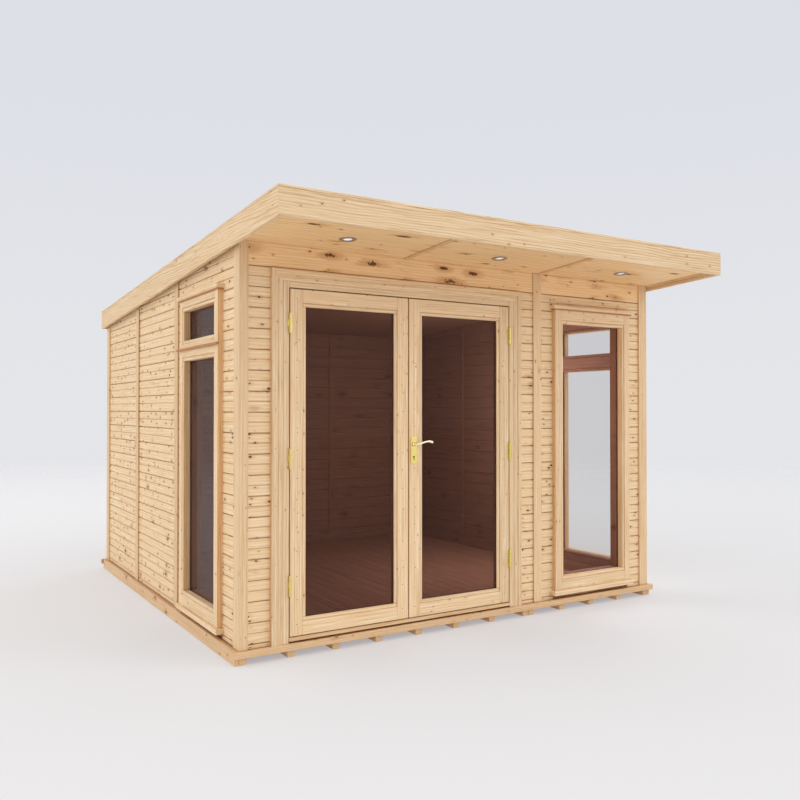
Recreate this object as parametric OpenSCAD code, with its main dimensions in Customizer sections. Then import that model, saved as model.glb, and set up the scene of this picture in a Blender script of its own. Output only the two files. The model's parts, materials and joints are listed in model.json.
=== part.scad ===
// Garden office pod: timber room with a lean-to roof, double doors and side lights.
// The origin is on the ground, under the middle of the roof. X runs along the
// front from left to right, Y runs from the front to the back, Z is up.

/* [Building] */
// Width of the building over its corner boards
building_w = 3000; // [2700:10:4200]
// Depth of the building over its corner boards
building_d = 3000; // [2500:10:4200]
// Thickness of a wall panel
wall_t = 75; // [55:1:100]
// Depth of the front panels of the side walls, which hold the windows
side_front_panel_d = 1087; // [1000:1:1300]
// Depth of the middle panels of the side walls
side_middle_panel_d = 948; // [700:1:1000]
// Fall of the roof towards the back, in degrees
roof_pitch = 3.25; // [1:0.05:4]

/* [Base] */
// Height of the floor above the ground
deck_h = 75; // [60:1:120]
// Thickness of the floor boards
floor_t = 18; // [15:1:25]
// Width of a floor bearer
bearer_w = 45; // [35:1:60]
// Width of the left floor panel, which ends at a doubled bearer
left_floor_w = 1913; // [1500:1:2200]
// Number of bearers under the left floor panel
left_bearers = 8; // [6:1:10]
// Number of bearers under the right floor panel
right_bearers = 5; // [4:1:7]
// Height of the rim board along the front and the back
rim_h = 37; // [25:1:50]
// Thickness of the rim board
rim_t = 20; // [15:1:30]
// How far the rim board runs past each side
rim_reach = 38; // [25:1:38]
// Thickness of the board along each side of the base
side_rim_t = 22; // [15:1:24]

/* [Roof] */
// Reach of the roof in front of the front wall
front_overhang = 580; // [300:5:900]
// Reach of the roof past each side
side_overhang = 38; // [38:1:60]
// Reach of the roof behind the back wall
back_overhang = 38; // [30:1:80]
// Thickness of the roof panels
roof_t = 88; // [70:1:95]
// Thickness of the roof covering
covering_t = 4; // [2:0.5:6]
// Thickness of a fascia board
fascia_t = 20; // [16:1:25]
// How far the fascia hangs below the soffit
fascia_drop = 32; // [20:1:45]
// How far the fascia stands above the soffit
fascia_rise = 110; // [106:1:130]
// Thickness of the soffit panels
soffit_t = 12; // [9:1:15]
// Width of the battens on the soffit
batten_w = 26; // [20:1:80]
// Thickness of the battens on the soffit
batten_t = 8; // [5:1:12]
// Diameter of a downlight's ring
downlight_d = 78; // [60:1:90]
// Distance of the downlights from the front wall
downlight_reach = 230; // [150:5:300]

/* [Trim] */
// Thickness of the corner boards and cover strips
trim_t = 24; // [20:1:30]
// Width of a cover strip over a panel joint
strip_w = 66; // [50:1:80]
// Width of the left front corner board
left_corner_w = 50; // [45:1:80]
// Width of the right front corner board
right_corner_w = 74; // [45:1:80]
// Width of the corner boards on the side and back walls
side_corner_w = 78; // [60:1:90]
// Depth of the header board under the soffit
header_h = 122; // [100:1:160]
// Gap between the architrave and the header board over it
header_gap = 6; // [3:1:200]
// Thickness of the header board
header_t = 16; // [12:1:20]
// Gap between neighbouring wall panels, under a cover strip
panel_gap = 2; // [1:0.5:3]

/* [Doors] */
// Share of the front's free width that lies left of the doors
left_gap_share = 0.275; // [0.2:0.005:0.35]
// Share of the front's free width between the doors and the cover strip
door_gap_share = 0.242; // [0.15:0.001:0.3]
// Share of the front's free width between the cover strip and the window
window_gap_share = 0.221; // [0.15:0.001:0.3]
// Width of a door leaf
leaf_w = 732; // [600:1:880]
// Height of a door leaf
leaf_h = 1822; // [1500:1:2200]
// Thickness of a door leaf
leaf_t = 44; // [38:1:50]
// Width of the stiles and rails of a door leaf
leaf_rail_w = 92; // [75:1:110]
// Gap between the two leaves
meeting_gap = 7; // [6.5:0.5:9]
// Gap between a leaf and the door frame
leaf_gap = 6; // [5.5:0.5:8]
// Visible thickness of the door frame
jamb_t = 34; // [28:1:45]
// Width of the stop behind the leaves
stop_w = 16; // [12:1:20]
// Height of the door sill
sill_h = 28; // [20:1:40]
// Width of the architrave around the doors
architrave_w = 63; // [50:1:75]
// Length of a hinge
hinge_h = 102; // [80:1:120]
// Diameter of a hinge knuckle
knuckle_d = 13; // [11:0.5:14]
// Height of the lowest hinge above the foot of its leaf
hinge_foot = 266; // [150:1:300]
// Height of the middle hinge above the foot of its leaf
hinge_middle = 931; // [700:1:1000]
// Drop of the top hinge below the top of its leaf
hinge_head = 181; // [120:1:300]
// Height of the lock plate
plate_h = 156; // [140:1:200]
// Width of the lock plate
plate_w = 42; // [38:1:46]
// Length of a door lever
lever_l = 112; // [90:1:130]
// Height of the lever above the foot of the leaf
lever_rise = 988; // [850:1:1050]

/* [Windows] */
// Width of each window over its frame
window_w = 680; // [500:1:850]
// Height of the frame's foot above the floor
window_foot = 57; // [45:1:90]
// Drop of the window frames' top below the header board
window_head = 100; // [60:1:300]
// Height of the top light of a side window
top_light_h = 296; // [250:1:400]
// Share of the free depth beside the left window that lies in front of it
left_window_share = 0.632; // [0.2:0.001:0.8]
// Share of the free depth beside the right window that lies in front of it
right_window_share = 0.345; // [0.2:0.001:0.8]
// Width of the window stiles
window_stile_w = 70; // [50:1:80]
// Width of the window rails
window_rail_w = 86; // [60:1:95]
// Width of the rails around a top light
top_rail_w = 60; // [50:1:70]
// How far the window frames stand out from the corner boards
window_out = 20; // [10:1:30]
// Distance of the window glass behind the face of its frame
window_glass_in = 46; // [30:1:55]
// Thickness of the double glazing
glass_t = 14; // [8:1:20]

/* [Hidden] */
$fn = 48;

// A place rounded to a tenth of a millimetre, as set out on site
function tenth(place) = round(10 * place) / 10;

// Planes of the building
left_x = -building_w / 2;
right_x = building_w / 2;
roof_d = front_overhang + building_d + back_overhang;
front_y = front_overhang - roof_d / 2;
back_y = front_y + building_d;

// Faces of the wall panels, behind the corner boards
wall_left = left_x + trim_t;
wall_right = right_x - trim_t;
wall_front = front_y + trim_t;
wall_back = back_y - trim_t;
inner_left = wall_left + wall_t;
inner_right = wall_right - wall_t;
inner_front = wall_front + wall_t;
inner_back = wall_back - wall_t;

// Widths along the front, and what is free between the pieces on it
doorway_w = 2 * (leaf_w + leaf_gap + jamb_t) + meeting_gap;
doors_w = doorway_w + 2 * architrave_w;
front_free_w = building_w - left_corner_w - doors_w - strip_w - window_w - right_corner_w;

// Joints between panels, each under a cover strip
doors_left = tenth(left_x + left_corner_w + left_gap_share * front_free_w);
strip_left = tenth(doors_left + doors_w + door_gap_share * front_free_w);
front_joint_x = strip_left + strip_w / 2;
back_joints_x = [tenth(left_x + building_w / 3), tenth(left_x + 2 * building_w / 3)];
side_joints_y = [front_y + side_front_panel_d,
                 front_y + side_front_panel_d + side_middle_panel_d];
soffit_joints_x = back_joints_x;

// Roof edges, inside the fascia boards
roof_left = left_x - side_overhang + fascia_t;
roof_right = right_x + side_overhang - fascia_t;
roof_front = front_y - front_overhang + fascia_t;
roof_back = back_y + back_overhang - fascia_t;
roof_slack = 0.05;

// Doorway
leaf_out = 10;
door_x = doors_left + doors_w / 2;
leaf_face = front_y - leaf_out;
leaf_back = leaf_face + leaf_t;
leaf_foot = deck_h + sill_h + leaf_gap;
leaf_top = leaf_foot + leaf_h;
leaf_left = door_x - meeting_gap / 2 - leaf_w;
leaf_right = door_x + meeting_gap / 2 + leaf_w;
jamb_left = leaf_left - leaf_gap;
jamb_right = leaf_right + leaf_gap;
head_z = leaf_top + leaf_gap;
doorway_left = jamb_left - jamb_t;
doorway_right = jamb_right + jamb_t;
doorway_top = head_z + jamb_t;
stop_y = leaf_back + leaf_gap;
stop_d = 20;
architrave_out = 15;
sill_out = 18;
door_glass_in = 15;

// Hinges: three a leaf, with the axis in the gap beside the leaf
hinge_plate_t = 2.5;
hinge_plate_w = 9;
hinge_slack = 0.3;
hinge_relief = 2.5;
hinge_y = leaf_face - knuckle_d / 2 - 1;
hinge_left_x = leaf_left - leaf_gap / 2;
hinge_right_x = leaf_right + leaf_gap / 2;
hinge_heights = [hinge_foot, hinge_middle, leaf_h - hinge_head];

// Lock and levers on the meeting stile of the right leaf
lever_inset = 30;
lever_x = door_x + meeting_gap / 2 + lever_inset;
lever_z = leaf_foot + lever_rise;
plate_t = 4;
plate_rise = 45;
spindle_d = 9;
neck_d = 18;
neck_l = 38;
lever_slack = 0.4;
lever_t = 11;

// Windows
hood_reach = 20;
hood_out = 15;
hood_h = 30;
drip_h = 12;
sill_board_h = 30;
header_z = doorway_top + architrave_w + header_gap;
soffit_h = header_z + header_h;
window_z = deck_h + window_foot;
window_top = header_z - window_head;
top_light_z = window_top - top_light_h;
front_window_left = tenth(strip_left + strip_w + window_gap_share * front_free_w);
side_free_d = side_front_panel_d - side_corner_w - window_w - strip_w / 2;
left_window_y = tenth(front_y + side_corner_w + left_window_share * side_free_d);
right_window_y = tenth(front_y + side_corner_w + right_window_share * side_free_d);

// Downlights in the soffit, each in a round hole
downlight_hole_d = downlight_d - 12;
downlight_slack = 0.5;
downlight_flange = 4;

// Height of the soffit's plane at a place from front to back
function soffit_z(y) = soffit_h - (y - front_y) * tan(roof_pitch);

// A block between two corners
module block(x0, x1, y0, y1, z0, z1) {
    translate([x0, y0, z0])
        cube([x1 - x0, y1 - y0, z1 - z0]);
}

// A prism along X with an outline in Y and Z
module prism_x(x0, x1, outline) {
    translate([x0, 0, 0])
        rotate([90, 0, 90])
            linear_extrude(height = x1 - x0)
                polygon(outline);
}

// A layer parallel to the soffit, between two heights above it
module roof_layer(x0, x1, y0, y1, low, high) {
    prism_x(x0, x1, [
        [y0, soffit_z(y0) + low],
        [y1, soffit_z(y1) + low],
        [y1, soffit_z(y1) + high],
        [y0, soffit_z(y0) + high]
    ]);
}

// A block that stands on the floor and ends just under a layer of the roof
module wall_block(x0, x1, y0, y1, z0, above_soffit) {
    prism_x(x0, x1, [
        [y0, z0],
        [y1, z0],
        [y1, soffit_z(y1) + above_soffit - roof_slack],
        [y0, soffit_z(y0) + above_soffit - roof_slack]
    ]);
}

// ---- Base ----

module floor_bearers() {
    left_pitch = (left_floor_w - bearer_w) / (left_bearers - 1);
    right_start = left_floor_w + panel_gap;
    right_pitch = (building_w - right_start - bearer_w) / (right_bearers - 1);
    color("burlywood") {
        for (i = [0 : left_bearers - 1])
            bearer(left_x + i * left_pitch);
        for (i = [0 : right_bearers - 1])
            bearer(left_x + right_start + i * right_pitch);
    }
}

module bearer(x) {
    block(x, x + bearer_w, front_y, back_y, 0, deck_h - floor_t);
}

module floor() {
    color("tan")
        block(left_x, right_x, front_y, back_y, deck_h - floor_t, deck_h);
}

module rim_board(y) {
    block(left_x - rim_reach, right_x + rim_reach, y, y + rim_t, deck_h - rim_h, deck_h);
}

module front_rim_board() {
    color("burlywood")
        rim_board(front_y - rim_t);
}

module back_rim_board() {
    color("burlywood")
        rim_board(back_y);
}

module side_rim_boards() {
    color("burlywood") {
        block(left_x - side_rim_t, left_x, front_y, back_y, 0, deck_h);
        block(right_x, right_x + side_rim_t, front_y, back_y, 0, deck_h);
    }
}

// ---- Walls ----

module front_panel(x0, x1, z0) {
    wall_block(x0, x1, wall_front, inner_front, z0, soffit_t);
}

module front_wall_left() {
    color("wheat")
        front_panel(wall_left, doorway_left, deck_h);
}

module front_wall_over_door() {
    color("wheat")
        front_panel(doorway_left, doorway_right, doorway_top);
}

module front_wall_middle() {
    color("wheat")
        front_panel(doorway_right, front_joint_x - panel_gap / 2, deck_h);
}

module front_wall_right() {
    color("wheat")
        difference() {
            front_panel(front_joint_x + panel_gap / 2, wall_right, deck_h);
            block(front_window_left, front_window_left + window_w,
                  wall_front - 1, inner_front + 1, window_z, window_top);
        }
}

module side_panel(x0, y0, y1) {
    wall_block(x0, x0 + wall_t, y0, y1, deck_h, soffit_t);
}

// The front panel of a side wall, with the hole for its window
module side_window_panel(x0, window_y) {
    difference() {
        side_panel(x0, inner_front, side_joints_y[0] - panel_gap / 2);
        block(x0 - 1, x0 + wall_t + 1, window_y, window_y + window_w, window_z, window_top);
    }
}

module side_rear_panels(x0) {
    side_panel(x0, side_joints_y[0] + panel_gap / 2, side_joints_y[1] - panel_gap / 2);
    side_panel(x0, side_joints_y[1] + panel_gap / 2, inner_back);
}

module left_wall_front() {
    color("wheat")
        side_window_panel(wall_left, left_window_y);
}

module left_wall_rear_panels() {
    color("wheat")
        side_rear_panels(wall_left);
}

module right_wall_front() {
    color("wheat")
        side_window_panel(inner_right, right_window_y);
}

module right_wall_rear_panels() {
    color("wheat")
        side_rear_panels(inner_right);
}

module back_wall_panels() {
    starts = [wall_left, back_joints_x[0] + panel_gap / 2, back_joints_x[1] + panel_gap / 2];
    ends = [back_joints_x[0] - panel_gap / 2, back_joints_x[1] - panel_gap / 2, wall_right];
    color("wheat")
        for (i = [0 : 2])
            wall_block(starts[i], ends[i], inner_back, wall_back, deck_h, soffit_t);
}

// ---- Corner boards, strips and header ----

// Two boards around a corner: one on the front or back, one on the side
module corner_boards(corner_x, corner_y, width, rise) {
    y_face = corner_y < 0 ? corner_y : corner_y - trim_t;
    x_face = corner_x < 0 ? corner_x : corner_x - trim_t;
    x_board = corner_x < 0 ? corner_x : corner_x - width;
    y_board = corner_y < 0 ? corner_y : corner_y - side_corner_w;
    union() {
        wall_block(x_board, x_board + width, y_face, y_face + trim_t, deck_h, rise);
        wall_block(x_face, x_face + trim_t, y_board, y_board + side_corner_w, deck_h, rise);
    }
}

module front_corner_boards() {
    color("navajowhite") {
        corner_boards(left_x, front_y, left_corner_w, rise = 0);
        corner_boards(right_x, front_y, right_corner_w, rise = 0);
    }
}

module back_corner_boards() {
    color("navajowhite") {
        corner_boards(left_x, back_y, side_corner_w, rise = soffit_t);
        corner_boards(right_x, back_y, side_corner_w, rise = soffit_t);
    }
}

module wall_cover_strips() {
    half = strip_w / 2;
    color("navajowhite") {
        wall_block(front_joint_x - half, front_joint_x + half, front_y, wall_front, deck_h, 0);
        for (y = side_joints_y) {
            wall_block(left_x, wall_left, y - half, y + half, deck_h, soffit_t);
            wall_block(wall_right, right_x, y - half, y + half, deck_h, soffit_t);
        }
        for (x = back_joints_x)
            wall_block(x - half, x + half, wall_back, back_y, deck_h, soffit_t);
    }
}

// Header boards under the soffit, one on each side of the front cover strip
module header_boards() {
    y = wall_front - header_t;
    half = strip_w / 2;
    color("burlywood") {
        wall_block(left_x + left_corner_w, front_joint_x - half, y, wall_front, header_z, 0);
        wall_block(front_joint_x + half, right_x - right_corner_w, y, wall_front, header_z, 0);
    }
}

// ---- Doorway ----

module door_frame() {
    color("navajowhite")
        union() {
            difference() {
                block(doorway_left, doorway_right, leaf_face, inner_front, deck_h, doorway_top);
                block(jamb_left, jamb_right, leaf_face - 1, inner_front + 1, deck_h - 1, head_z);
            }
            door_stops();
        }
}

// Stops behind the leaves, down both jambs and under the head
module door_stops() {
    difference() {
        block(jamb_left, jamb_right, stop_y, stop_y + stop_d, deck_h + sill_h, head_z);
        block(jamb_left + stop_w, jamb_right - stop_w, stop_y - 1, stop_y + stop_d + 1,
              deck_h, head_z - stop_w);
    }
}

module door_sill() {
    color("burlywood")
        block(jamb_left, jamb_right, front_y - sill_out, inner_front, deck_h, deck_h + sill_h);
}

module door_architrave() {
    color("navajowhite")
        difference() {
            block(doorway_left - architrave_w, doorway_right + architrave_w,
                  front_y - architrave_out, wall_front, deck_h, doorway_top + architrave_w);
            block(doorway_left, doorway_right, front_y - architrave_out - 1, wall_front + 1,
                  deck_h - 1, doorway_top);
        }
}

// The frame's half of a hinge: a plate on the jamb and the middle knuckle.
// side is -1 for the left jamb and 1 for the right one.
module frame_hinge(x, side, z) {
    length = hinge_h / 3 - 2 * hinge_slack;
    translate([x, hinge_y, z])
        cylinder(d = knuckle_d, h = length, center = true);
    hinge_plate(x + side * leaf_gap / 2, side, z, length);
}

module hinge_plate(x, side, z, length) {
    x0 = side < 0 ? x - hinge_plate_w : x;
    block(x0, x0 + hinge_plate_w, leaf_face - hinge_plate_t, leaf_face,
          z - length / 2, z + length / 2);
    // web between the plate and the knuckle
    web_x = side < 0 ? x : x - leaf_gap / 2;
    block(web_x, web_x + leaf_gap / 2, leaf_face - hinge_plate_t, leaf_face - 0.5,
          z - length / 2, z + length / 2);
}

module frame_hinges() {
    color("gold")
        for (h = hinge_heights) {
            frame_hinge(hinge_left_x, -1, leaf_foot + h);
            frame_hinge(hinge_right_x, 1, leaf_foot + h);
        }
}

// ---- Windows ----

// The opening of the front window, between two planes across the wall
module front_light(y0, y1) {
    x0 = front_window_left + window_stile_w;
    x1 = front_window_left + window_w - window_stile_w;
    block(x0, x1, y0, y1, window_z + window_rail_w, window_top - window_rail_w);
}

module front_window_frame() {
    y0 = front_y - window_out;
    color("navajowhite")
        difference() {
            block(front_window_left, front_window_left + window_w, y0, inner_front,
                  window_z, window_top);
            front_light(y0 - 1, inner_front + 1);
        }
}

module front_window_glass() {
    y0 = front_y - window_out + window_glass_in;
    color("rosybrown")
        front_light(y0, y0 + glass_t);
}

// The opening of a side window's lights, between two planes across the wall
module side_lights(x0, x1, window_y) {
    y0 = window_y + window_stile_w;
    y1 = window_y + window_w - window_stile_w;
    block(x0, x1, y0, y1, window_z + window_rail_w, top_light_z - top_rail_w);
    block(x0, x1, y0, y1, top_light_z + top_rail_w, window_top - top_rail_w);
}

// A tall window with a top light over it
module side_window_frame(x0, x1, window_y) {
    difference() {
        block(x0, x1, window_y, window_y + window_w, window_z, window_top);
        side_lights(x0 - 1, x1 + 1, window_y);
    }
}

module left_window_frame() {
    color("navajowhite")
        side_window_frame(left_x - window_out, inner_left, left_window_y);
}

module right_window_frame() {
    color("navajowhite")
        side_window_frame(inner_right, right_x + window_out, right_window_y);
}

module left_window_glass() {
    x0 = left_x - window_out + window_glass_in;
    color("rosybrown")
        side_lights(x0, x0 + glass_t, left_window_y);
}

module right_window_glass() {
    x1 = right_x + window_out - window_glass_in;
    color("rosybrown")
        side_lights(x1 - glass_t, x1, right_window_y);
}

// Hoods over the windows, and a drip between a tall window and its top light
module window_hoods() {
    out = window_out + hood_out;
    color("navajowhite") {
        block(front_window_left - hood_reach, front_window_left + window_w + hood_reach,
              front_y - out, wall_front, window_top, window_top + hood_h);
        side_trim(left_x - out, wall_left, left_window_y, window_top, hood_h);
        side_trim(wall_right, right_x + out, right_window_y, window_top, hood_h);
        side_trim(left_x - out, left_x - window_out, left_window_y, top_light_z, drip_h);
        side_trim(right_x + window_out, right_x + out, right_window_y, top_light_z, drip_h);
    }
}

module window_sills() {
    out = window_out + hood_out;
    z = window_z - sill_board_h;
    color("navajowhite") {
        block(front_window_left - hood_reach, front_window_left + window_w + hood_reach,
              front_y - out, wall_front, z, window_z);
        side_trim(left_x - out, wall_left, left_window_y, z, sill_board_h);
        side_trim(wall_right, right_x + out, right_window_y, z, sill_board_h);
    }
}

// A hood, drip or sill board of a side window
module side_trim(x0, x1, window_y, z, height) {
    block(x0, x1, window_y - hood_reach, window_y + window_w + hood_reach, z, z + height);
}

// ---- Roof ----

module roof_deck() {
    color("burlywood")
        roof_layer(roof_left, roof_right, roof_front, roof_back, soffit_t, soffit_t + roof_t);
}

module roof_covering() {
    z = soffit_t + roof_t;
    color("dimgray")
        roof_layer(roof_left, roof_right, roof_front, roof_back, z, z + covering_t);
}

module cross_fascia(y, edge_y) {
    z = soffit_z(edge_y);
    block(left_x - side_overhang, right_x + side_overhang, y, y + fascia_t,
          z - fascia_drop, z + fascia_rise);
}

module front_fascia() {
    color("wheat")
        cross_fascia(front_y - front_overhang, roof_front);
}

module back_fascia() {
    color("wheat")
        cross_fascia(roof_back, roof_back);
}

module side_fascia(x) {
    roof_layer(x, x + fascia_t, roof_front, roof_back, -fascia_drop, fascia_rise);
}

module left_fascia() {
    color("wheat")
        side_fascia(left_x - side_overhang);
}

module right_fascia() {
    color("wheat")
        side_fascia(roof_right);
}

// A downlight's place under the soffit, turned square to it
module at_downlights() {
    y = front_y - downlight_reach;
    for (i = [0 : 2])
        translate([left_x + (i + 0.5) * building_w / 3, y, soffit_z(y)])
            rotate([-roof_pitch, 0, 0])
                children();
}

module soffit_panels() {
    starts = [roof_left, soffit_joints_x[0] + panel_gap / 2, soffit_joints_x[1] + panel_gap / 2];
    ends = [soffit_joints_x[0] - panel_gap / 2, soffit_joints_x[1] - panel_gap / 2, roof_right];
    color("peru")
        difference() {
            for (i = [0 : 2])
                roof_layer(starts[i], ends[i], roof_front, wall_front, 0, soffit_t - roof_slack);
            at_downlights()
                cylinder(d = downlight_hole_d, h = 4 * soffit_t, center = true);
        }
}

module soffit_battens() {
    half = batten_w / 2;
    starts = [roof_left, soffit_joints_x[0] - half, soffit_joints_x[1] - half, roof_right - batten_w];
    color("tan")
        for (x = starts)
            roof_layer(x, x + batten_w, roof_front, front_y, -batten_t, -roof_slack);
}

module downlights() {
    color("silver")
        at_downlights() {
            translate([0, 0, -downlight_flange])
                cylinder(d = downlight_d, h = downlight_flange);
            cylinder(d = downlight_hole_d - 2 * downlight_slack, h = soffit_t - 1);
        }
}

// ---- Doors ----

// A leaf of stiles and rails around its glass
module leaf(x0) {
    difference() {
        block(x0, x0 + leaf_w, leaf_face, leaf_back, leaf_foot, leaf_top);
        block(x0 + leaf_rail_w, x0 + leaf_w - leaf_rail_w, leaf_face - 1, leaf_back + 1,
              leaf_foot + leaf_rail_w, leaf_top - leaf_rail_w);
    }
}

module leaf_glass(x0) {
    y0 = leaf_face + door_glass_in;
    block(x0 + leaf_rail_w, x0 + leaf_w - leaf_rail_w, y0, y0 + glass_t,
          leaf_foot + leaf_rail_w, leaf_top - leaf_rail_w);
}

// A leaf's half of a hinge: a plate on the stile with a knuckle at each end
module leaf_hinge(x, side, z) {
    for (end = [-1, 1]) {
        middle = z + end * hinge_h / 3;
        translate([x, hinge_y, middle])
            cylinder(d = knuckle_d, h = hinge_h / 3, center = true);
        hinge_plate(x + side * leaf_gap / 2, side, middle, hinge_h / 3);
    }
    // strip between the two ends, clear of the frame's knuckle
    near_x = x + side * (leaf_gap / 2 + hinge_relief);
    far_x = x + side * (leaf_gap / 2 + hinge_plate_w);
    block(min(near_x, far_x), max(near_x, far_x), leaf_face - hinge_plate_t, leaf_face,
          z - hinge_h / 2, z + hinge_h / 2);
}

module left_door() {
    color("navajowhite")
        leaf(leaf_left);
}

module left_door_glass() {
    color("saddlebrown")
        leaf_glass(leaf_left);
}

module left_door_hinges() {
    color("gold")
        for (h = hinge_heights)
            leaf_hinge(hinge_left_x, 1, leaf_foot + h);
}

module right_door() {
    color("navajowhite")
        difference() {
            leaf(leaf_right - leaf_w);
            translate([lever_x, leaf_face - 1, lever_z])
                rotate([-90, 0, 0])
                    cylinder(d = spindle_d + 2 * lever_slack, h = leaf_t + 2);
        }
}

module right_door_glass() {
    color("saddlebrown")
        leaf_glass(leaf_right - leaf_w);
}

module right_door_hinges() {
    color("gold")
        for (h = hinge_heights)
            leaf_hinge(hinge_right_x, -1, leaf_foot + h);
}

// A lock plate on each face of the right leaf, with a hole for the lever's neck
module lock_plates() {
    top = lever_z + plate_rise;
    color("gold")
        difference() {
            for (y = [leaf_face - plate_t, leaf_back])
                block(lever_x - plate_w / 2, lever_x + plate_w / 2, y, y + plate_t,
                      top - plate_h, top);
            translate([lever_x, leaf_face - plate_t - 1, lever_z])
                rotate([-90, 0, 0])
                    cylinder(d = neck_d + 2 * lever_slack, h = leaf_t + 2 * plate_t + 2);
        }
}

// One lever outside and one inside, on a spindle through the leaf
module door_levers() {
    outer = leaf_face - neck_l;
    inner = leaf_back + neck_l;
    color("gold")
        union() {
            translate([lever_x, outer, lever_z])
                rotate([-90, 0, 0])
                    cylinder(d = spindle_d, h = inner - outer);
            lever_arm(outer, leaf_face - lever_slack);
            lever_arm(inner, leaf_back + lever_slack);
        }
}

// A neck from the leaf to the grip, and the grip along the leaf
module lever_arm(grip_y, neck_y) {
    y0 = min(grip_y, neck_y);
    translate([lever_x, y0, lever_z])
        rotate([-90, 0, 0])
            cylinder(d = neck_d, h = abs(neck_y - grip_y));
    grip_y0 = grip_y < neck_y ? grip_y : grip_y - lever_t;
    block(lever_x, lever_x + lever_l, grip_y0, grip_y0 + lever_t,
          lever_z - neck_d / 2 + 1, lever_z + neck_d / 2 - 1);
}

floor_bearers();
floor();
front_rim_board();
back_rim_board();
side_rim_boards();
front_wall_left();
front_wall_over_door();
front_wall_middle();
front_wall_right();
left_wall_front();
left_wall_rear_panels();
right_wall_front();
right_wall_rear_panels();
back_wall_panels();
front_corner_boards();
back_corner_boards();
wall_cover_strips();
header_boards();
door_frame();
door_sill();
door_architrave();
frame_hinges();
front_window_frame();
left_window_frame();
right_window_frame();
front_window_glass();
left_window_glass();
right_window_glass();
window_hoods();
window_sills();
roof_deck();
roof_covering();
front_fascia();
back_fascia();
left_fascia();
right_fascia();
soffit_panels();
soffit_battens();
downlights();
left_door();
left_door_glass();
left_door_hinges();
right_door();
right_door_glass();
right_door_hinges();
lock_plates();
door_levers();
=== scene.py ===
"""Garden office pod: boards, trim, joinery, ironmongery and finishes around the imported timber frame."""

import json
import math
import random

import bmesh
import bpy
from mathutils import Matrix, Vector


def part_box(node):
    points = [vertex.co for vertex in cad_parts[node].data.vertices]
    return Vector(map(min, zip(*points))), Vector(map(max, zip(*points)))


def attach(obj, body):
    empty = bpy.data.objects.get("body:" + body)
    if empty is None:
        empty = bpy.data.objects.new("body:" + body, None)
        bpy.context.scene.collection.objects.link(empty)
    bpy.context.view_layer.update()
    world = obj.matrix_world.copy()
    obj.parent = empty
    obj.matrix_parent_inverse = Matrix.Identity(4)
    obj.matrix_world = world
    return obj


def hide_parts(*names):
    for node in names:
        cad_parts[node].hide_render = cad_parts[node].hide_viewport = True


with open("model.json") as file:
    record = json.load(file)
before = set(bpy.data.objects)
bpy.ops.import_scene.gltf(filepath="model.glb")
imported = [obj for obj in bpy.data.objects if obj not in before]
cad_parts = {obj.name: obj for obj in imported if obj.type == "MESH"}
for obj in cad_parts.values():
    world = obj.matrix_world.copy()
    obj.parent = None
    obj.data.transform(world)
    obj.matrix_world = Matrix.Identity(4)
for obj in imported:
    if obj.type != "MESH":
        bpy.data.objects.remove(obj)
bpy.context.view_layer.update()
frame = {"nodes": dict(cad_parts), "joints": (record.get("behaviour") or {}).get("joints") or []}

bl_info = {
    "name": "Garden office pod",
    "version": (1, 0, 0),
    "blender": (4, 5, 0),
    "location": "View3D > Sidebar > Garden Pod",
    "description": "Boards, trim, joinery, ironmongery and finishes of a timber garden office pod",
    "category": "Object",
}

AXES = "XYZ"
NODES = frame["nodes"]

# ---- Places taken from the frame ----


def low(node):
    """The lowest corner of a CAD node."""
    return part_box(node)[0]


def high(node):
    """The highest corner of a CAD node."""
    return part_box(node)[1]


def slope_of(node, pick):
    """The height of a sloping face as a function of y: pick is min for an underside or max for a top."""
    points = [v.co for v in NODES[node].data.vertices]
    y0 = min(p.y for p in points)
    y1 = max(p.y for p in points)
    z0 = pick(p.z for p in points if abs(p.y - y0) < 1e-4)
    z1 = pick(p.z for p in points if abs(p.y - y1) < 1e-4)
    return lambda y: z0 + (z1 - z0) * (y - y0) / (y1 - y0)


FLOOR_Z = high("floor").z
LEFT_X = low("wall_cover_strips").x
RIGHT_X = high("wall_cover_strips").x
FRONT_Y = low("front_corner_boards").y
WALL_FRONT = low("front_wall_left").y
INNER_FRONT = high("front_wall_left").y
WALL_LEFT = low("left_wall_front").x
INNER_LEFT = high("left_wall_front").x
INNER_RIGHT = low("right_wall_front").x
WALL_RIGHT = high("right_wall_front").x
INNER_BACK = low("back_wall_panels").y
WALL_BACK = high("back_wall_panels").y
HEADER_Z = low("header_boards").z
deck_under = slope_of("roof_deck", min)
soffit_under = slope_of("soffit_panels", min)
covering_top = slope_of("roof_covering", max)
ROOF_SLOPE = deck_under(0) - deck_under(1)


# ---- Settings that a user would change ----


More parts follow.
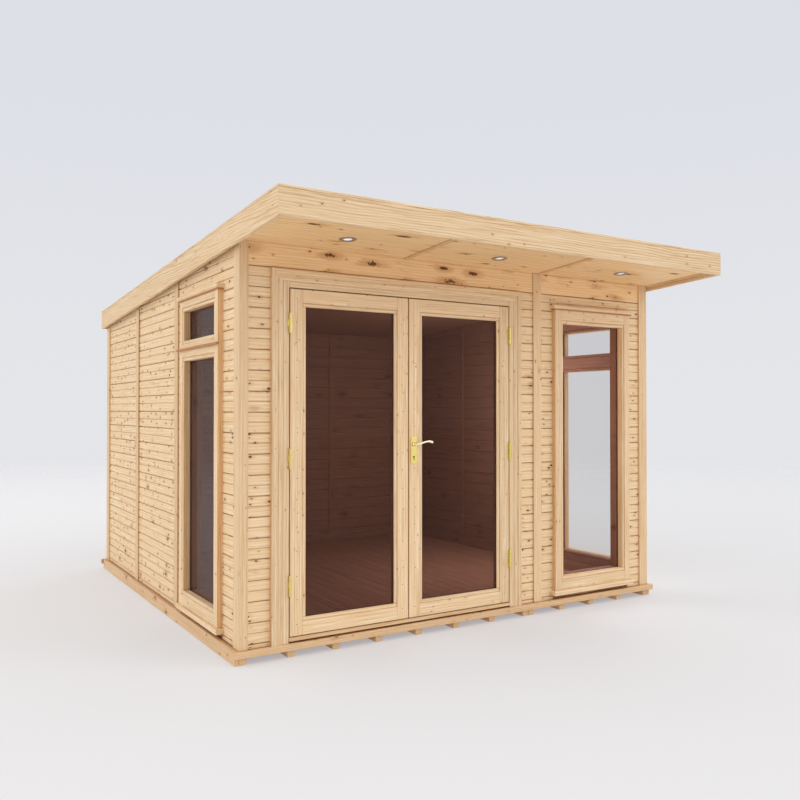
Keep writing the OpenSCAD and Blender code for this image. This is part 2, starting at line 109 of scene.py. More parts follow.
class PodSizes(bpy.types.PropertyGroup):
    """Sizes of the boards and small pieces that the frame doesn't hold."""

    cladding_pitch: bpy.props.FloatProperty(
        name="Cladding pitch", description="Height that one cladding board covers",
        default=0.108, min=0.05, max=0.2, unit="LENGTH")
    cladding_t: bpy.props.FloatProperty(
        name="Cladding thickness", description="Thickness of a cladding board",
        default=0.0135, min=0.008, max=0.018, unit="LENGTH")
    joint_gap: bpy.props.FloatProperty(
        name="Joint gap", description="Gap between two cladding boards",
        default=0.0036, min=0.001, max=0.006, unit="LENGTH")
    joint_chamfer: bpy.props.FloatProperty(
        name="Joint chamfer", description="Chamfer along each edge of a cladding board",
        default=0.0048, min=0.001, max=0.008, unit="LENGTH")
    groove: bpy.props.FloatProperty(
        name="Middle groove", description="Half the width of the groove along a board's middle",
        default=0.0013, min=0.0005, max=0.004, unit="LENGTH")
    lining_pitch: bpy.props.FloatProperty(
        name="Lining pitch", description="Width that one lining, ceiling or floor board covers",
        default=0.095, min=0.05, max=0.2, unit="LENGTH")
    lining_t: bpy.props.FloatProperty(
        name="Lining thickness", description="Thickness of a lining board",
        default=0.009, min=0.005, max=0.01, unit="LENGTH")
    ease: bpy.props.FloatProperty(
        name="Eased edge", description="Chamfer on the edges of planed timber",
        default=0.0022, min=0.0005, max=0.004, unit="LENGTH")
    bead_w: bpy.props.FloatProperty(
        name="Glazing bead", description="Width of the glazing beads",
        default=0.020, min=0.01, max=0.03, unit="LENGTH")
    seed: bpy.props.IntProperty(
        name="Seed", description="Start of every random choice", default=11, min=0)


class PodFinishes(bpy.types.PropertyGroup):
    """Colours of the finishes."""

    early_wood: bpy.props.FloatVectorProperty(
        name="Early wood", description="Pale wood between the growth lines",
        subtype="COLOR", size=3, default=(0.850, 0.620, 0.370), min=0, max=1)
    late_wood: bpy.props.FloatVectorProperty(
        name="Late wood", description="Darker wood of the growth lines",
        subtype="COLOR", size=3, default=(0.480, 0.240, 0.085), min=0, max=1)
    pale_wood: bpy.props.FloatVectorProperty(
        name="Pale wood", description="Palest streaks of the wood",
        subtype="COLOR", size=3, default=(0.930, 0.800, 0.600), min=0, max=1)
    knot: bpy.props.FloatVectorProperty(
        name="Knot", description="Wood inside a knot",
        subtype="COLOR", size=3, default=(0.190, 0.070, 0.022), min=0, max=1)
    lining: bpy.props.FloatVectorProperty(
        name="Lining", description="Stained boards inside the room",
        subtype="COLOR", size=3, default=(0.290, 0.132, 0.085), min=0, max=1)
    brass: bpy.props.FloatVectorProperty(
        name="Brass", description="Hinges, lock plates and levers",
        subtype="COLOR", size=3, default=(0.870, 0.700, 0.230), min=0, max=1)
    covering: bpy.props.FloatVectorProperty(
        name="Roof covering", description="Membrane on the roof",
        subtype="COLOR", size=3, default=(0.035, 0.036, 0.040), min=0, max=1)


# ---- Shader groups and materials ----


class Shading:
    """Adds nodes to a tree with short calls."""

    def __init__(self, tree):
        self.tree = tree

    def node(self, kind, **settings):
        made = self.tree.nodes.new(kind)
        for key, value in settings.items():
            setattr(made, key, value)
        return made

    def feed(self, socket, value):
        """Links an output to the socket, or sets it to a plain value."""
        if isinstance(value, bpy.types.NodeSocket):
            self.tree.links.new(value, socket)
        elif isinstance(value, (int, float)) and socket.type in ("VECTOR", "RGBA"):
            socket.default_value = [value] * 3 + [1.0] * (socket.type == "RGBA")
        elif socket.type == "RGBA" and len(value) == 3:
            socket.default_value = (*value, 1.0)
        else:
            socket.default_value = value

    def math(self, operation, first, second=0.0, third=0.0):
        made = self.node("ShaderNodeMath", operation=operation)
        for socket, value in zip(made.inputs, (first, second, third)):
            self.feed(socket, value)
        return made.outputs[0]

    def vector(self, operation, first, second=(0, 0, 0)):
        made = self.node("ShaderNodeVectorMath", operation=operation)
        self.feed(made.inputs[0], first)
        self.feed(made.inputs[1], second)
        return made.outputs["Value" if operation == "LENGTH" else "Vector"]

    def steps(self, value, start, end, low_value=0.0, high_value=1.0):
        """A smooth step from low_value to high_value."""
        made = self.node("ShaderNodeMapRange", interpolation_type="SMOOTHSTEP")
        for key, given in (("Value", value), ("From Min", start), ("From Max", end),
                           ("To Min", low_value), ("To Max", high_value)):
            self.feed(made.inputs[key], given)
        return made.outputs["Result"]

    def noise(self, vector, scale, detail=2.0, roughness=0.5):
        made = self.node("ShaderNodeTexNoise")
        for key, given in (("Vector", vector), ("Scale", scale), ("Detail", detail),
                           ("Roughness", roughness)):
            self.feed(made.inputs[key], given)
        return made.outputs["Fac"]

    def mix(self, share, first, second, blend="MIX"):
        made = self.node("ShaderNodeMix", data_type="RGBA", blend_type=blend)
        self.feed(made.inputs["Factor"], share)
        self.feed(made.inputs[6], first)
        self.feed(made.inputs[7], second)
        return made.outputs[2]


def new_group(name, inputs, outputs):
    """A shader node group with the named sockets, and its input and output nodes."""
    tree = bpy.data.node_groups.new(name, "ShaderNodeTree")
    for label, kind, default in inputs:
        socket = tree.interface.new_socket(label, in_out="INPUT", socket_type=kind)
        if default is not None:
            socket.default_value = default
    for label, kind in outputs:
        tree.interface.new_socket(label, in_out="OUTPUT", socket_type=kind)
    return tree, tree.nodes.new("NodeGroupInput").outputs, tree.nodes.new("NodeGroupOutput").inputs


FLOAT, COLOR, VECTOR = "NodeSocketFloat", "NodeSocketColor", "NodeSocketVector"


def knot_layer(add, grain, along, across, share, radius, irregular, narrow):
    """Knots in some cells of a lattice stretched along the grain: mask, halo and inner shading.
    The halo fades out before the border of its cell."""
    spacing = (along, across, across)
    place = add.vector("DIVIDE", grain, spacing)
    cells, border = [add.node("ShaderNodeTexVoronoi", feature=feature)
                     for feature in ("F1", "DISTANCE_TO_EDGE")]
    for lattice in (cells, border):
        add.feed(lattice.inputs["Vector"], place)
        add.feed(lattice.inputs["Scale"], 1.0)
        add.feed(lattice.inputs["Randomness"], 0.8)
    aside = add.vector("MULTIPLY", add.vector("SUBTRACT", place, cells.outputs["Position"]), spacing)
    shrink = add.node("ShaderNodeCombineXYZ")
    for socket, value in zip(shrink.inputs, (narrow, 0.4, 1.0)):
        add.feed(socket, value)
    reach = add.vector("LENGTH", add.vector("MULTIPLY", aside, shrink.outputs[0]))
    chance = add.node("ShaderNodeSeparateColor")
    add.feed(chance.inputs[0], cells.outputs["Color"])
    there = add.math("LESS_THAN", chance.outputs[0], share)
    size = add.math("MULTIPLY", radius, add.math("MULTIPLY_ADD", chance.outputs[1], 1.3, 0.35))
    edge = add.noise(add.vector("MULTIPLY", grain, (0.6, 1.0, 1.0)), 150.0, 1.0)
    rough = add.math("MULTIPLY", add.math("SUBTRACT", edge, 0.5), add.math("MULTIPLY", size, irregular))
    reach = add.math("ADD", reach, rough)
    mask = add.steps(reach, add.math("MULTIPLY", size, 1.15), add.math("MULTIPLY", size, 0.8))
    halo = add.math("MULTIPLY", add.steps(reach, add.math("MULTIPLY", size, 4.0), size),
                    add.steps(border.outputs["Distance"], 0.0, 0.2))
    heart = add.steps(reach, add.math("MULTIPLY", size, 0.9), 0.0)
    return add.math("MULTIPLY", there, mask), add.math("MULTIPLY", there, halo), heart


def pine_group():
    """Growth lines, veins, fibres and knots of a pine board, read along its grain, with painted shade on
    the faces that Edge marks.
    """
    tree, given, out = new_group(
        "pine_board",
        [("Grain", VECTOR, None), ("Tone", FLOAT, 0.5),
         ("Early Wood", COLOR, (0.8, 0.6, 0.37, 1)), ("Late Wood", COLOR, (0.6, 0.36, 0.15, 1)),
         ("Pale Wood", COLOR, (0.9, 0.74, 0.52, 1)), ("Knot Wood", COLOR, (0.19, 0.07, 0.02, 1)),
         ("Line Pitch", FLOAT, 0.012), ("Line Strength", FLOAT, 0.5), ("Wander", FLOAT, 0.02),
         ("Vein Strength", FLOAT, 0.5), ("Knot Share", FLOAT, 0.4), ("Knot Radius", FLOAT, 0.008),
         ("Edge", FLOAT, 0.0), ("Knot Narrowing", FLOAT, 0.55), ("Pin Share", FLOAT, 0.4),
         ("Pin Radius", FLOAT, 0.0035)],
        [("Color", COLOR), ("Roughness", FLOAT), ("Height", FLOAT)])
    add = Shading(tree)
    grain = given["Grain"]
    knot, halo, heart = knot_layer(
        add, grain, along=0.26, across=0.065, share=given["Knot Share"],
        radius=given["Knot Radius"], irregular=1.8, narrow=given["Knot Narrowing"])
    aside = add.vector("ADD", grain, (3.1, 0.4, 0.7))
    pin, pin_halo, pin_heart = knot_layer(
        add, aside, along=0.11, across=0.030, share=given["Pin Share"],
        radius=given["Pin Radius"], irregular=0.9, narrow=0.55)
    # growth lines: shells around the pith, which wanders and swerves around the knots
    slow = add.noise(add.vector("MULTIPLY", grain, (1.6, 6.0, 6.0)), 1.0, 2.0)
    quick = add.noise(add.vector("MULTIPLY", grain, (9.0, 30.0, 30.0)), 1.0, 2.0)
    shell = add.vector("LENGTH", add.vector("MULTIPLY", grain, (0.0, 1.0, 1.0)))
    shell = add.math("ADD", shell, add.math("MULTIPLY", slow, given["Wander"]))
    shell = add.math("ADD", shell, add.math("MULTIPLY", quick, 0.006))
    shell = add.math("ADD", shell, add.math("MULTIPLY", halo, 0.012))
    turn = add.math("FRACT", add.math("DIVIDE", shell, given["Line Pitch"]))
    line = add.math("MULTIPLY", add.steps(turn, 0.50, 0.90), add.steps(turn, 1.0, 0.94))
    fade = add.steps(add.noise(add.vector("MULTIPLY", grain, (1.1, 9.0, 9.0)), 1.0, 1.0), 0.3, 0.65,
                     0.35, 1.0)
    line = add.math("MULTIPLY", line, fade)
    # veins and fibres: streaks along the grain
    streak = add.noise(add.vector("MULTIPLY", grain, (3.0, 125.0, 125.0)), 1.0, 3.0, 0.65)
    fibre = add.noise(add.vector("MULTIPLY", grain, (9.0, 330.0, 330.0)), 1.0, 2.0, 0.6)
    vein = add.steps(streak, 0.53, 0.70)
    light = add.steps(streak, 0.48, 0.33)
    wood = add.mix(add.math("MULTIPLY", light, 0.6), given["Early Wood"], given["Pale Wood"])
    wood = add.mix(add.math("MULTIPLY", line, given["Line Strength"]), wood, given["Late Wood"])
    wood = add.mix(add.math("MULTIPLY", vein, given["Vein Strength"]), wood, given["Late Wood"])
    tone = add.math("SUBTRACT", given["Tone"], 0.5)
    shade = add.math("MULTIPLY_ADD", add.math("SUBTRACT", fibre, 0.5), 0.30, 1.0)
    shade = add.math("MULTIPLY_ADD", tone, 0.13, shade)
    # painted shade: the narrow sides, ends and undersides that Edge marks are multiplied by a warm
    # orange, standing in for the shade and bounced light on returns and in gaps
    wood = add.mix(given["Edge"], wood, add.mix(1.0, wood, (0.97, 0.84, 0.70), "MULTIPLY"))
    lit = add.node("ShaderNodeVectorMath", operation="SCALE")
    add.feed(lit.inputs[0], wood)
    add.feed(lit.inputs["Scale"], shade)
    both = add.math("MAXIMUM", halo, add.math("MULTIPLY", pin_halo, 0.5))
    warm = add.mix(add.math("MULTIPLY", both, 0.6), lit.outputs[0], given["Late Wood"])
    dark = add.mix(0.75, given["Knot Wood"], (0.012, 0.005, 0.002))
    knotted = add.mix(knot, warm, add.mix(heart, given["Knot Wood"], dark))
    add.feed(out["Color"], add.mix(pin, knotted, add.mix(pin_heart, given["Knot Wood"], dark)))
    add.feed(out["Roughness"], add.math("MULTIPLY_ADD", fibre, 0.22, 0.44))
    height = add.math("MULTIPLY_ADD", line, 0.35, add.math("MULTIPLY", fibre, 0.4))
    add.feed(out["Height"], add.math("MULTIPLY_ADD", knot, -0.5, height))
    return tree


def handled_group():
    """Faint smears and fine scuffs of a smooth surface that is touched and wiped."""
    tree, given, out = new_group(
        "handled_surface",
        [("Vector", VECTOR, None), ("Smear Size", FLOAT, 0.02), ("Low Roughness", FLOAT, 0.12),
         ("High Roughness", FLOAT, 0.3)],
        [("Roughness", FLOAT), ("Height", FLOAT), ("Smear", FLOAT)])
    add = Shading(tree)
    scale = add.math("DIVIDE", 1.0, given["Smear Size"])
    smear = add.noise(given["Vector"], scale, 3.0)
    scuff = add.noise(given["Vector"], add.math("MULTIPLY", scale, 14.0), 2.0)
    add.feed(out["Roughness"], add.steps(smear, 0.3, 0.75, given["Low Roughness"],
                                         given["High Roughness"]))
    add.feed(out["Height"], scuff)
    add.feed(out["Smear"], smear)
    return tree


GROUPS = {}


def group(name):
    """The shader group of that name, built once."""
    if name not in GROUPS:
        GROUPS[name] = {"pine_board": pine_group, "handled_surface": handled_group}[name]()
    return GROUPS[name]


def new_material(name):
    """A material with a Principled shader, its tree helper and the shader node."""
    material = bpy.data.materials.new(name)
    material.use_nodes = True
    add = Shading(material.node_tree)
    return material, add, material.node_tree.nodes["Principled BSDF"]


def set_bump(add, shader, height, strength, distance):
    """Feeds a height into the shader's normal."""
    bump = add.node("ShaderNodeBump")
    add.feed(bump.inputs["Height"], height)
    bump.inputs["Strength"].default_value = strength
    bump.inputs["Distance"].default_value = distance
    add.feed(shader.inputs["Normal"], bump.outputs[0])


def pine(name, own_grain=True, early=None, late=None, pale=None, knots=(0.3, 0.007, 0.55),
         pins=(0.3, 0.003), lines=(0.012, 0.5, 0.02), veins=0.5, bump=0.3):
    """A pine finish. It reads each board's own grain, or object places with the grain along x.
    knots are (share, radius, narrowing), pins (share, radius), lines (pitch, strength, wander)."""
    finishes = bpy.context.scene.pod_finishes
    material, add, shader = new_material(name)
    wood = add.node("ShaderNodeGroup", node_tree=group("pine_board"))
    if own_grain:
        grain = add.node("ShaderNodeAttribute", attribute_name="grain")
        add.feed(wood.inputs["Grain"], grain.outputs["Vector"])
        # Edge marks the faces that get painted shade
        for label in ("Tone", "Edge"):
            value = add.node("ShaderNodeAttribute", attribute_name=label.lower())
            add.feed(wood.inputs[label], value.outputs["Fac"])
    else:
        place = add.node("ShaderNodeTexCoord")
        turn = add.node("ShaderNodeMapping")
        turn.inputs["Rotation"].default_value = (math.pi / 2, 0, 0)
        turn.inputs["Location"].default_value = (0.0, 0.03, 0.05)
        add.feed(turn.inputs["Vector"], place.outputs["Object"])
        add.feed(wood.inputs["Grain"], turn.outputs[0])
    labels = ("Early Wood", "Late Wood", "Pale Wood", "Knot Wood", "Vein Strength",
              "Knot Share", "Knot Radius", "Knot Narrowing", "Pin Share", "Pin Radius",
              "Line Pitch", "Line Strength", "Wander")
    values = (tuple(early or finishes.early_wood), tuple(late or finishes.late_wood),
              tuple(pale or finishes.pale_wood), tuple(finishes.knot), veins,
              *knots, *pins, *lines)
    for label, value in zip(labels, values):
        add.feed(wood.inputs[label], value)
    add.feed(shader.inputs["Base Color"], wood.outputs["Color"])
    add.feed(shader.inputs["Roughness"], wood.outputs["Roughness"])
    shader.inputs["Specular IOR Level"].default_value = 0.3
    set_bump(add, shader, wood.outputs["Height"], bump, 0.0008)
    return material


def handled(name, color, metallic, roughness, smear=0.02, bump=0.05, alpha=1.0, specular=0.5):
    """A smooth finish with faint smears: metal, glass or plastic."""
    material, add, shader = new_material(name)
    place = add.node("ShaderNodeTexCoord")
    touch = add.node("ShaderNodeGroup", node_tree=group("handled_surface"))
    add.feed(touch.inputs["Vector"], place.outputs["Object"])
    add.feed(touch.inputs["Smear Size"], smear)
    add.feed(touch.inputs["Low Roughness"], roughness[0])
    add.feed(touch.inputs["High Roughness"], roughness[1])
    dull = tuple(0.82 * c for c in color)
    add.feed(shader.inputs["Base Color"], add.mix(touch.outputs["Smear"], color, dull))
    add.feed(shader.inputs["Roughness"], touch.outputs["Roughness"])
    shader.inputs["Metallic"].default_value = metallic
    shader.inputs["Alpha"].default_value = alpha
    shader.inputs["Specular IOR Level"].default_value = specular
    set_bump(add, shader, touch.outputs["Height"], bump, 0.0004)
    return material


def membrane(name):
    """Roof covering: a dark sheet with fine mineral grains and dull patches."""
    material, add, shader = new_material(name)
    place = add.node("ShaderNodeTexCoord").outputs["Object"]
    grains = add.noise(place, 900.0, 2.0)
    patches = add.noise(place, 3.0, 4.0)
    base = tuple(bpy.context.scene.pod_finishes.covering)
    pale = tuple(2.2 * c for c in base)
    speckled = add.mix(add.steps(grains, 0.45, 0.7), base, pale)
    add.feed(shader.inputs["Base Color"], add.mix(add.steps(patches, 0.4, 0.8, 0.0, 0.5),
                                                  speckled, pale))
    add.feed(shader.inputs["Roughness"], add.steps(patches, 0.3, 0.8, 0.75, 0.95))
    set_bump(add, shader, grains, 0.4, 0.001)
    return material


def lens(name):
    """A frosted lens over a lamp, with a fine dimple pattern."""
    material, add, shader = new_material(name)
    place = add.node("ShaderNodeTexCoord").outputs["Object"]
    dimples = add.node("ShaderNodeTexVoronoi")
    add.feed(dimples.inputs["Vector"], place)
    add.feed(dimples.inputs["Scale"], 220.0)
    depth = dimples.outputs["Distance"]
    add.feed(shader.inputs["Base Color"], add.mix(depth, (0.96, 0.96, 0.94), (0.82, 0.83, 0.84)))
    shader.inputs["Roughness"].default_value = 0.25
    shader.inputs["Emission Color"].default_value = (1.0, 0.98, 0.94, 1.0)
    shader.inputs["Emission Strength"].default_value = 0.35
    set_bump(add, shader, depth, 0.5, 0.001)
    return material


FINISHES = {}


def finish(name):
    """The material of that name, built once."""
    if name not in FINISHES:
        FINISHES[name] = FINISH_MAKERS[name](name)
    return FINISHES[name]


def stained(name, glow=1.0, **more):
    """The dark stained pine inside the room."""
    base = tuple(glow * c for c in bpy.context.scene.pod_finishes.lining)
    return pine(name, early=base, late=tuple(0.5 * c for c in base),
                pale=tuple(1.35 * c for c in base), **more)


def sawn(name, **more):
    """Rough sawn softwood of the base."""
    return pine(name, early=(0.66, 0.44, 0.245), pale=(0.76, 0.55, 0.34), bump=0.8, **more)


FINISH_MAKERS = {
    "cladding_pine": lambda n: pine(
        n, knots=(0.22, 0.0066, 0.6), pins=(0.50, 0.0042), lines=(0.018, 0.25, 0.03), veins=0.18),
    "trim_pine": lambda n: pine(
        n, knots=(0.02, 0.005, 0.6), pins=(0.25, 0.0024), lines=(0.012, 0.32, 0.02), veins=0.46,
        early=(0.73, 0.515, 0.30), pale=(0.82, 0.65, 0.425)),
    "header_pine": lambda n: pine(
        n, knots=(0.60, 0.0095, 0.32), pins=(0.18, 0.004), lines=(0.016, 0.26, 0.03), veins=0.30,
        early=(0.91, 0.62, 0.33), pale=(0.95, 0.72, 0.44), late=(0.56, 0.26, 0.085)),
    "joinery_pine": lambda n: pine(
        n, knots=(0.0, 0.004, 0.6), pins=(0.40, 0.0020), lines=(0.012, 0.32, 0.016), veins=0.46,
        early=(0.78, 0.565, 0.34), pale=(0.89, 0.77, 0.57)),
    # painted shade: a dark orange pine for the strips under the hoods, standing in for their shadow
    "drip_pine": lambda n: pine(
        n, pins=(0.1, 0.002), lines=(0.012, 0.3, 0.016), early=(0.50, 0.24, 0.09),
        pale=(0.60, 0.33, 0.15)),
    "fascia_pine": lambda n: pine(
        n, knots=(0.04, 0.004, 0.6), pins=(0.12, 0.0028), lines=(0.013, 0.62, 0.05), veins=0.60,
        early=(0.77, 0.565, 0.34), pale=(0.86, 0.715, 0.50)),
    "soffit_pine": lambda n: pine(
        n, own_grain=False, knots=(0.20, 0.0095, 0.35), pins=(0.08, 0.004), lines=(0.020, 0.45, 0.06),
        veins=0.50, early=(0.89, 0.61, 0.32), pale=(0.94, 0.72, 0.44), late=(0.60, 0.29, 0.095)),
    "slab_pine": lambda n: pine(
        n, own_grain=False, early=(0.42, 0.20, 0.08), late=(0.25, 0.11, 0.04)),
    "sawn_pine": lambda n: sawn(n, knots=(0.15, 0.006, 0.6), veins=0.5),
    "lining_pine": lambda n: stained(n, knots=(0.3, 0.008, 0.6), lines=(0.014, 0.45, 0.03)),
    "floor_pine": lambda n: stained(
        n, glow=1.3, knots=(0.1, 0.006, 0.6), lines=(0.014, 0.6, 0.03), veins=0.8),
    "roof_membrane": membrane,
    "door_glass": lambda n: handled(
        n, (0.052, 0.026, 0.020), 0.0, (0.02, 0.06), 0.25, 0.0, 0.28, specular=0.10),
    "window_glass": lambda n: handled(
        n, (0.100, 0.085, 0.080), 0.0, (0.02, 0.06), 0.25, 0.0, 0.075, specular=0.10),
    "side_glass": lambda n: handled(
        n, (0.085, 0.062, 0.064), 0.0, (0.02, 0.06), 0.25, 0.0, 0.22, specular=0.50),
    "brass": lambda n: handled(
        n, tuple(bpy.context.scene.pod_finishes.brass), 1.0, (0.22, 0.40), 0.015, 0.08),
    "lever_brass": lambda n: handled(n, (1.0, 0.93, 0.64), 1.0, (0.12, 0.26), 0.02, 0.04),
    "chrome": lambda n: handled(n, (0.42, 0.42, 0.45), 1.0, (0.10, 0.24), 0.02, 0.03),
    "nail_rust": lambda n: handled(n, (0.16, 0.10, 0.06), 0.6, (0.5, 0.8), 0.004, 0.4),
    # painted shade: a near-black disc that stands in for the dark inside of a keyhole
    "keyway": lambda n: handled(n, (0.012, 0.010, 0.009), 0.0, (0.5, 0.8), 0.004, 0.2),
    "lamp_lens": lens,
}


# ---- Timber: boards gathered into one mesh, each with its own grain ----


def prism(start, end):
    """A closed bmesh between two rings of places with the same number of corners."""
    shape = bmesh.new()
    near, far = [[shape.verts.new(place) for place in ring] for ring in (start, end)]
    shape.faces.new(near)
    shape.faces.new(reversed(far))
    count = len(near)
    for i in range(count):
        j = (i + 1) % count
        shape.faces.new((near[j], near[i], far[i], far[j]))
    return shape


def plain_mesh(name, shape, smooth=False):
    """Turns a bmesh into a mesh with its faces outwards, and frees it."""
    bmesh.ops.recalc_face_normals(shape, faces=shape.faces[:])
    mesh = bpy.data.meshes.new(name)
    shape.to_mesh(mesh)
    shape.free()
    if smooth:
        mesh.shade_smooth()
    return mesh


def grain_turn(along):
    """Turns places so that x runs along the board."""
    rows = {"X": ((1, 0, 0), (0, 1, 0), (0, 0, 1)),
            "Y": ((0, 1, 0), (-1, 0, 0), (0, 0, 1)),
            "Z": ((0, 0, 1), (0, 1, 0), (-1, 0, 0))}[along]
    return Matrix(rows)


class Timber:
    """Boards gathered into one mesh. Each keeps its own grain, tone and narrow sides as attributes; the
    narrow sides take painted shade.
    front is the axis that a wall or leaf faces along, or "" where no side is narrow or gets painted
    shade."""

    def __init__(self, name, ease=None, front=None):
        sizes = bpy.context.scene.pod_sizes
        self.name = name
        self.ease = sizes.ease if ease is None else ease
        self.front = front
        self.random = random.Random(f"{name} {sizes.seed}")
        self.points = []
        self.faces = []
        self.grains = []
        self.tones = []
        self.edges = []

    def solid(self, shape, along, ease=None):
        """Adds one closed bmesh as a board with its grain along an axis, and frees it."""
        offset = self.ease if ease is None else ease
        if offset > 0:
            bmesh.ops.bevel(shape, geom=shape.edges[:], offset=offset, segments=1,
                            affect="EDGES", clamp_overlap=True)
        bmesh.ops.recalc_face_normals(shape, faces=shape.faces[:])
        shape.verts.index_update()
        places = [v.co.copy() for v in shape.verts]
        middle = sum(places, Vector()) / len(places)
        turn = grain_turn(along)
        chance = self.random
        pith = Vector((chance.uniform(-9, 9), chance.uniform(-0.05, 0.05),
                       chance.choice((-1, 1)) * chance.uniform(0.02, 0.09)))
        tone = chance.random()
        start = len(self.points)
        self.points += places
        # the faces marked here get painted shade in the pine finish
        for face, narrow in zip(shape.faces, self.painted_shade_sides(shape, AXES.index(along))):
            self.edges += [float(narrow)] * len(face.verts)
            self.faces.append([start + v.index for v in face.verts])
            self.grains += [turn @ (v.co - middle) + pith for v in face.verts]
            self.tones += [tone] * len(face.verts)
        shape.free()

    def painted_shade_sides(self, shape, axis):
        """Whether each face is a narrow side, an end or an underside of its board: the faces that get
        painted shade.
        """
        if self.front == "":
            return [False] * len(shape.faces)
        if self.front:
            side = 1 - AXES.index(self.front)
            return [abs(f.normal[side]) > 0.85 or f.normal.z < -0.85 for f in shape.faces]
        spans = {i: max(v.co[i] for v in shape.verts) - min(v.co[i] for v in shape.verts)
                 for i in range(3) if i != axis}
        across = max(spans, key=spans.get)
        return [abs(f.normal[across]) > 0.85 or abs(f.normal[axis]) > 0.7 for f in shape.faces]

    def board(self, along, outline, start, end, ease=None):
        """A stick with an outline across it. start and end are places along the axis, or functions
        of the two places across it for an end that is cut at an angle."""
        axis = AXES.index(along)
        rings = []
        for cut in (start, end):
            rings.append([])
            for place in outline:
                corner = list(place)
                corner.insert(axis, cut(*place) if callable(cut) else cut)
                rings[-1].append(corner)
        self.solid(prism(*rings), along, ease)

    def block(self, lowest, highest, along=None, ease=None):
        """A straight board between two corners, along its longest side unless another is named."""
        size = [highest[i] - lowest[i] for i in range(3)]
        along = along or AXES[size.index(max(size))]
        axis = AXES.index(along)
        a, b = [i for i in range(3) if i != axis]
        outline = [(lowest[a], lowest[b]), (highest[a], lowest[b]),
                   (highest[a], highest[b]), (lowest[a], highest[b])]
        self.board(along, outline, lowest[axis], highest[axis], ease)

    def copy_node(self, node, ease=None):
        """Adds each solid of a CAD node as an eased board."""
        for shape in solids_of(node):
            places = [v.co for v in shape.verts]
            size = [max(p[i] for p in places) - min(p[i] for p in places) for i in range(3)]
            self.solid(shape, AXES[size.index(max(size))], ease)

    def mesh(self):
        """The gathered boards as a mesh with grain, tone and edge, the mask of the painted shade."""
        mesh = bpy.data.meshes.new(self.name)
        mesh.from_pydata(self.points, [], self.faces)
        grain = mesh.attributes.new("grain", "FLOAT_VECTOR", "CORNER")
        grain.data.foreach_set("vector", [c for g in self.grains for c in g])
        for name, values in (("tone", self.tones), ("edge", self.edges)):
            attribute = mesh.attributes.new(name, "FLOAT", "CORNER")
            attribute.data.foreach_set("value", values)
        return mesh

    def piece(self, material, body="building", replaces=(), slot=None):
        """The gathered boards as a piece on a body."""
        return make_piece(self.name, self.mesh(), material, body, replaces, slot)


def solids_of(node):
    """The separate solids of a CAD node, merged and with flat faces whole."""
    whole = bmesh.new()
    whole.from_mesh(NODES[node].data)
    bmesh.ops.remove_doubles(whole, verts=whole.verts[:], dist=1e-5)
    bmesh.ops.dissolve_limit(whole, angle_limit=math.radians(0.5), verts=whole.verts[:],
                             edges=whole.edges[:])
    left = set(whole.verts)
    solids = []
    while left:
        start = min(left, key=lambda v: v.index)
        island, queue = {start}, [start]
        while queue:
            for edge in queue.pop().link_edges:
                for vert in edge.verts:
                    if vert not in island:
                        island.add(vert)
                        queue.append(vert)
        left -= island
        shape = bmesh.new()
        twins = {v: shape.verts.new(v.co) for v in sorted(island, key=lambda v: v.index)}
        for face in whole.faces:
            if face.verts[0] in island:
                shape.faces.new([twins[v] for v in face.verts])
        solids.append(shape)
    whole.free()
    return solids


def boxes_of(node):
    """The lowest and highest corner of each solid of a CAD node."""
    boxes = []
    for shape in solids_of(node):
        places = [v.co for v in shape.verts]
        boxes.append((Vector([min(p[i] for p in places) for i in range(3)]),
                      Vector([max(p[i] for p in places) for i in range(3)])))
        shape.free()
    return boxes


def make_piece(name, mesh, material, body="building", replaces=(), slot=None):
    """An object at the origin that rides on a body."""
    piece = bpy.data.objects.new(name, mesh)
    bpy.context.scene.collection.objects.link(piece)
    if material is not None:
        mesh.materials.clear()
        mesh.materials.append(finish(material))
    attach(piece, body)
    if replaces:
        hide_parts(*replaces)
    return piece


def dress(node, material):
    """Gives a CAD node its finish."""
    mesh = NODES[node].data
    mesh.materials.clear()
    mesh.materials.append(finish(material))


# ---- Geometry Nodes: what repeats ----


def node_tree(name, inputs):
    """A geometry node tree with a geometry input and output and the named inputs."""
    tree = bpy.data.node_groups.new(name, "GeometryNodeTree")
    tree.interface.new_socket("Geometry", in_out="INPUT", socket_type="NodeSocketGeometry")
    for label, kind in inputs:
        tree.interface.new_socket(label, in_out="INPUT", socket_type=kind)
    tree.interface.new_socket("Geometry", in_out="OUTPUT", socket_type="NodeSocketGeometry")
    return tree, tree.nodes.new("NodeGroupInput").outputs, tree.nodes.new("NodeGroupOutput").inputs


def random_attribute(add, points, name, kind, lowest, highest, seed):
    """Stores a random value on each point."""
    chance = add.node("FunctionNodeRandomValue", data_type=kind)
    offset = {"FLOAT_VECTOR": 0, "FLOAT": 2}[kind]
    add.feed(chance.inputs[offset], lowest)
    add.feed(chance.inputs[offset + 1], highest)
    add.feed(chance.inputs["Seed"], seed)
    store = add.node("GeometryNodeStoreNamedAttribute", data_type=kind, domain="POINT")
    add.feed(store.inputs["Geometry"], points)
    add.feed(store.inputs["Name"], name)
    add.feed(store.inputs["Value"], chance.outputs[{"FLOAT_VECTOR": 0, "FLOAT": 1}[kind]])
    return store.outputs["Geometry"]


def set_finish(add, geometry, given, out):
    """Ends a tree: gives the geometry its material and sends it out."""
    cover = add.node("GeometryNodeSetMaterial")
    add.feed(cover.inputs["Geometry"], geometry)
    add.feed(cover.inputs["Material"], given["Finish"])
    add.feed(out["Geometry"], cover.outputs[0])


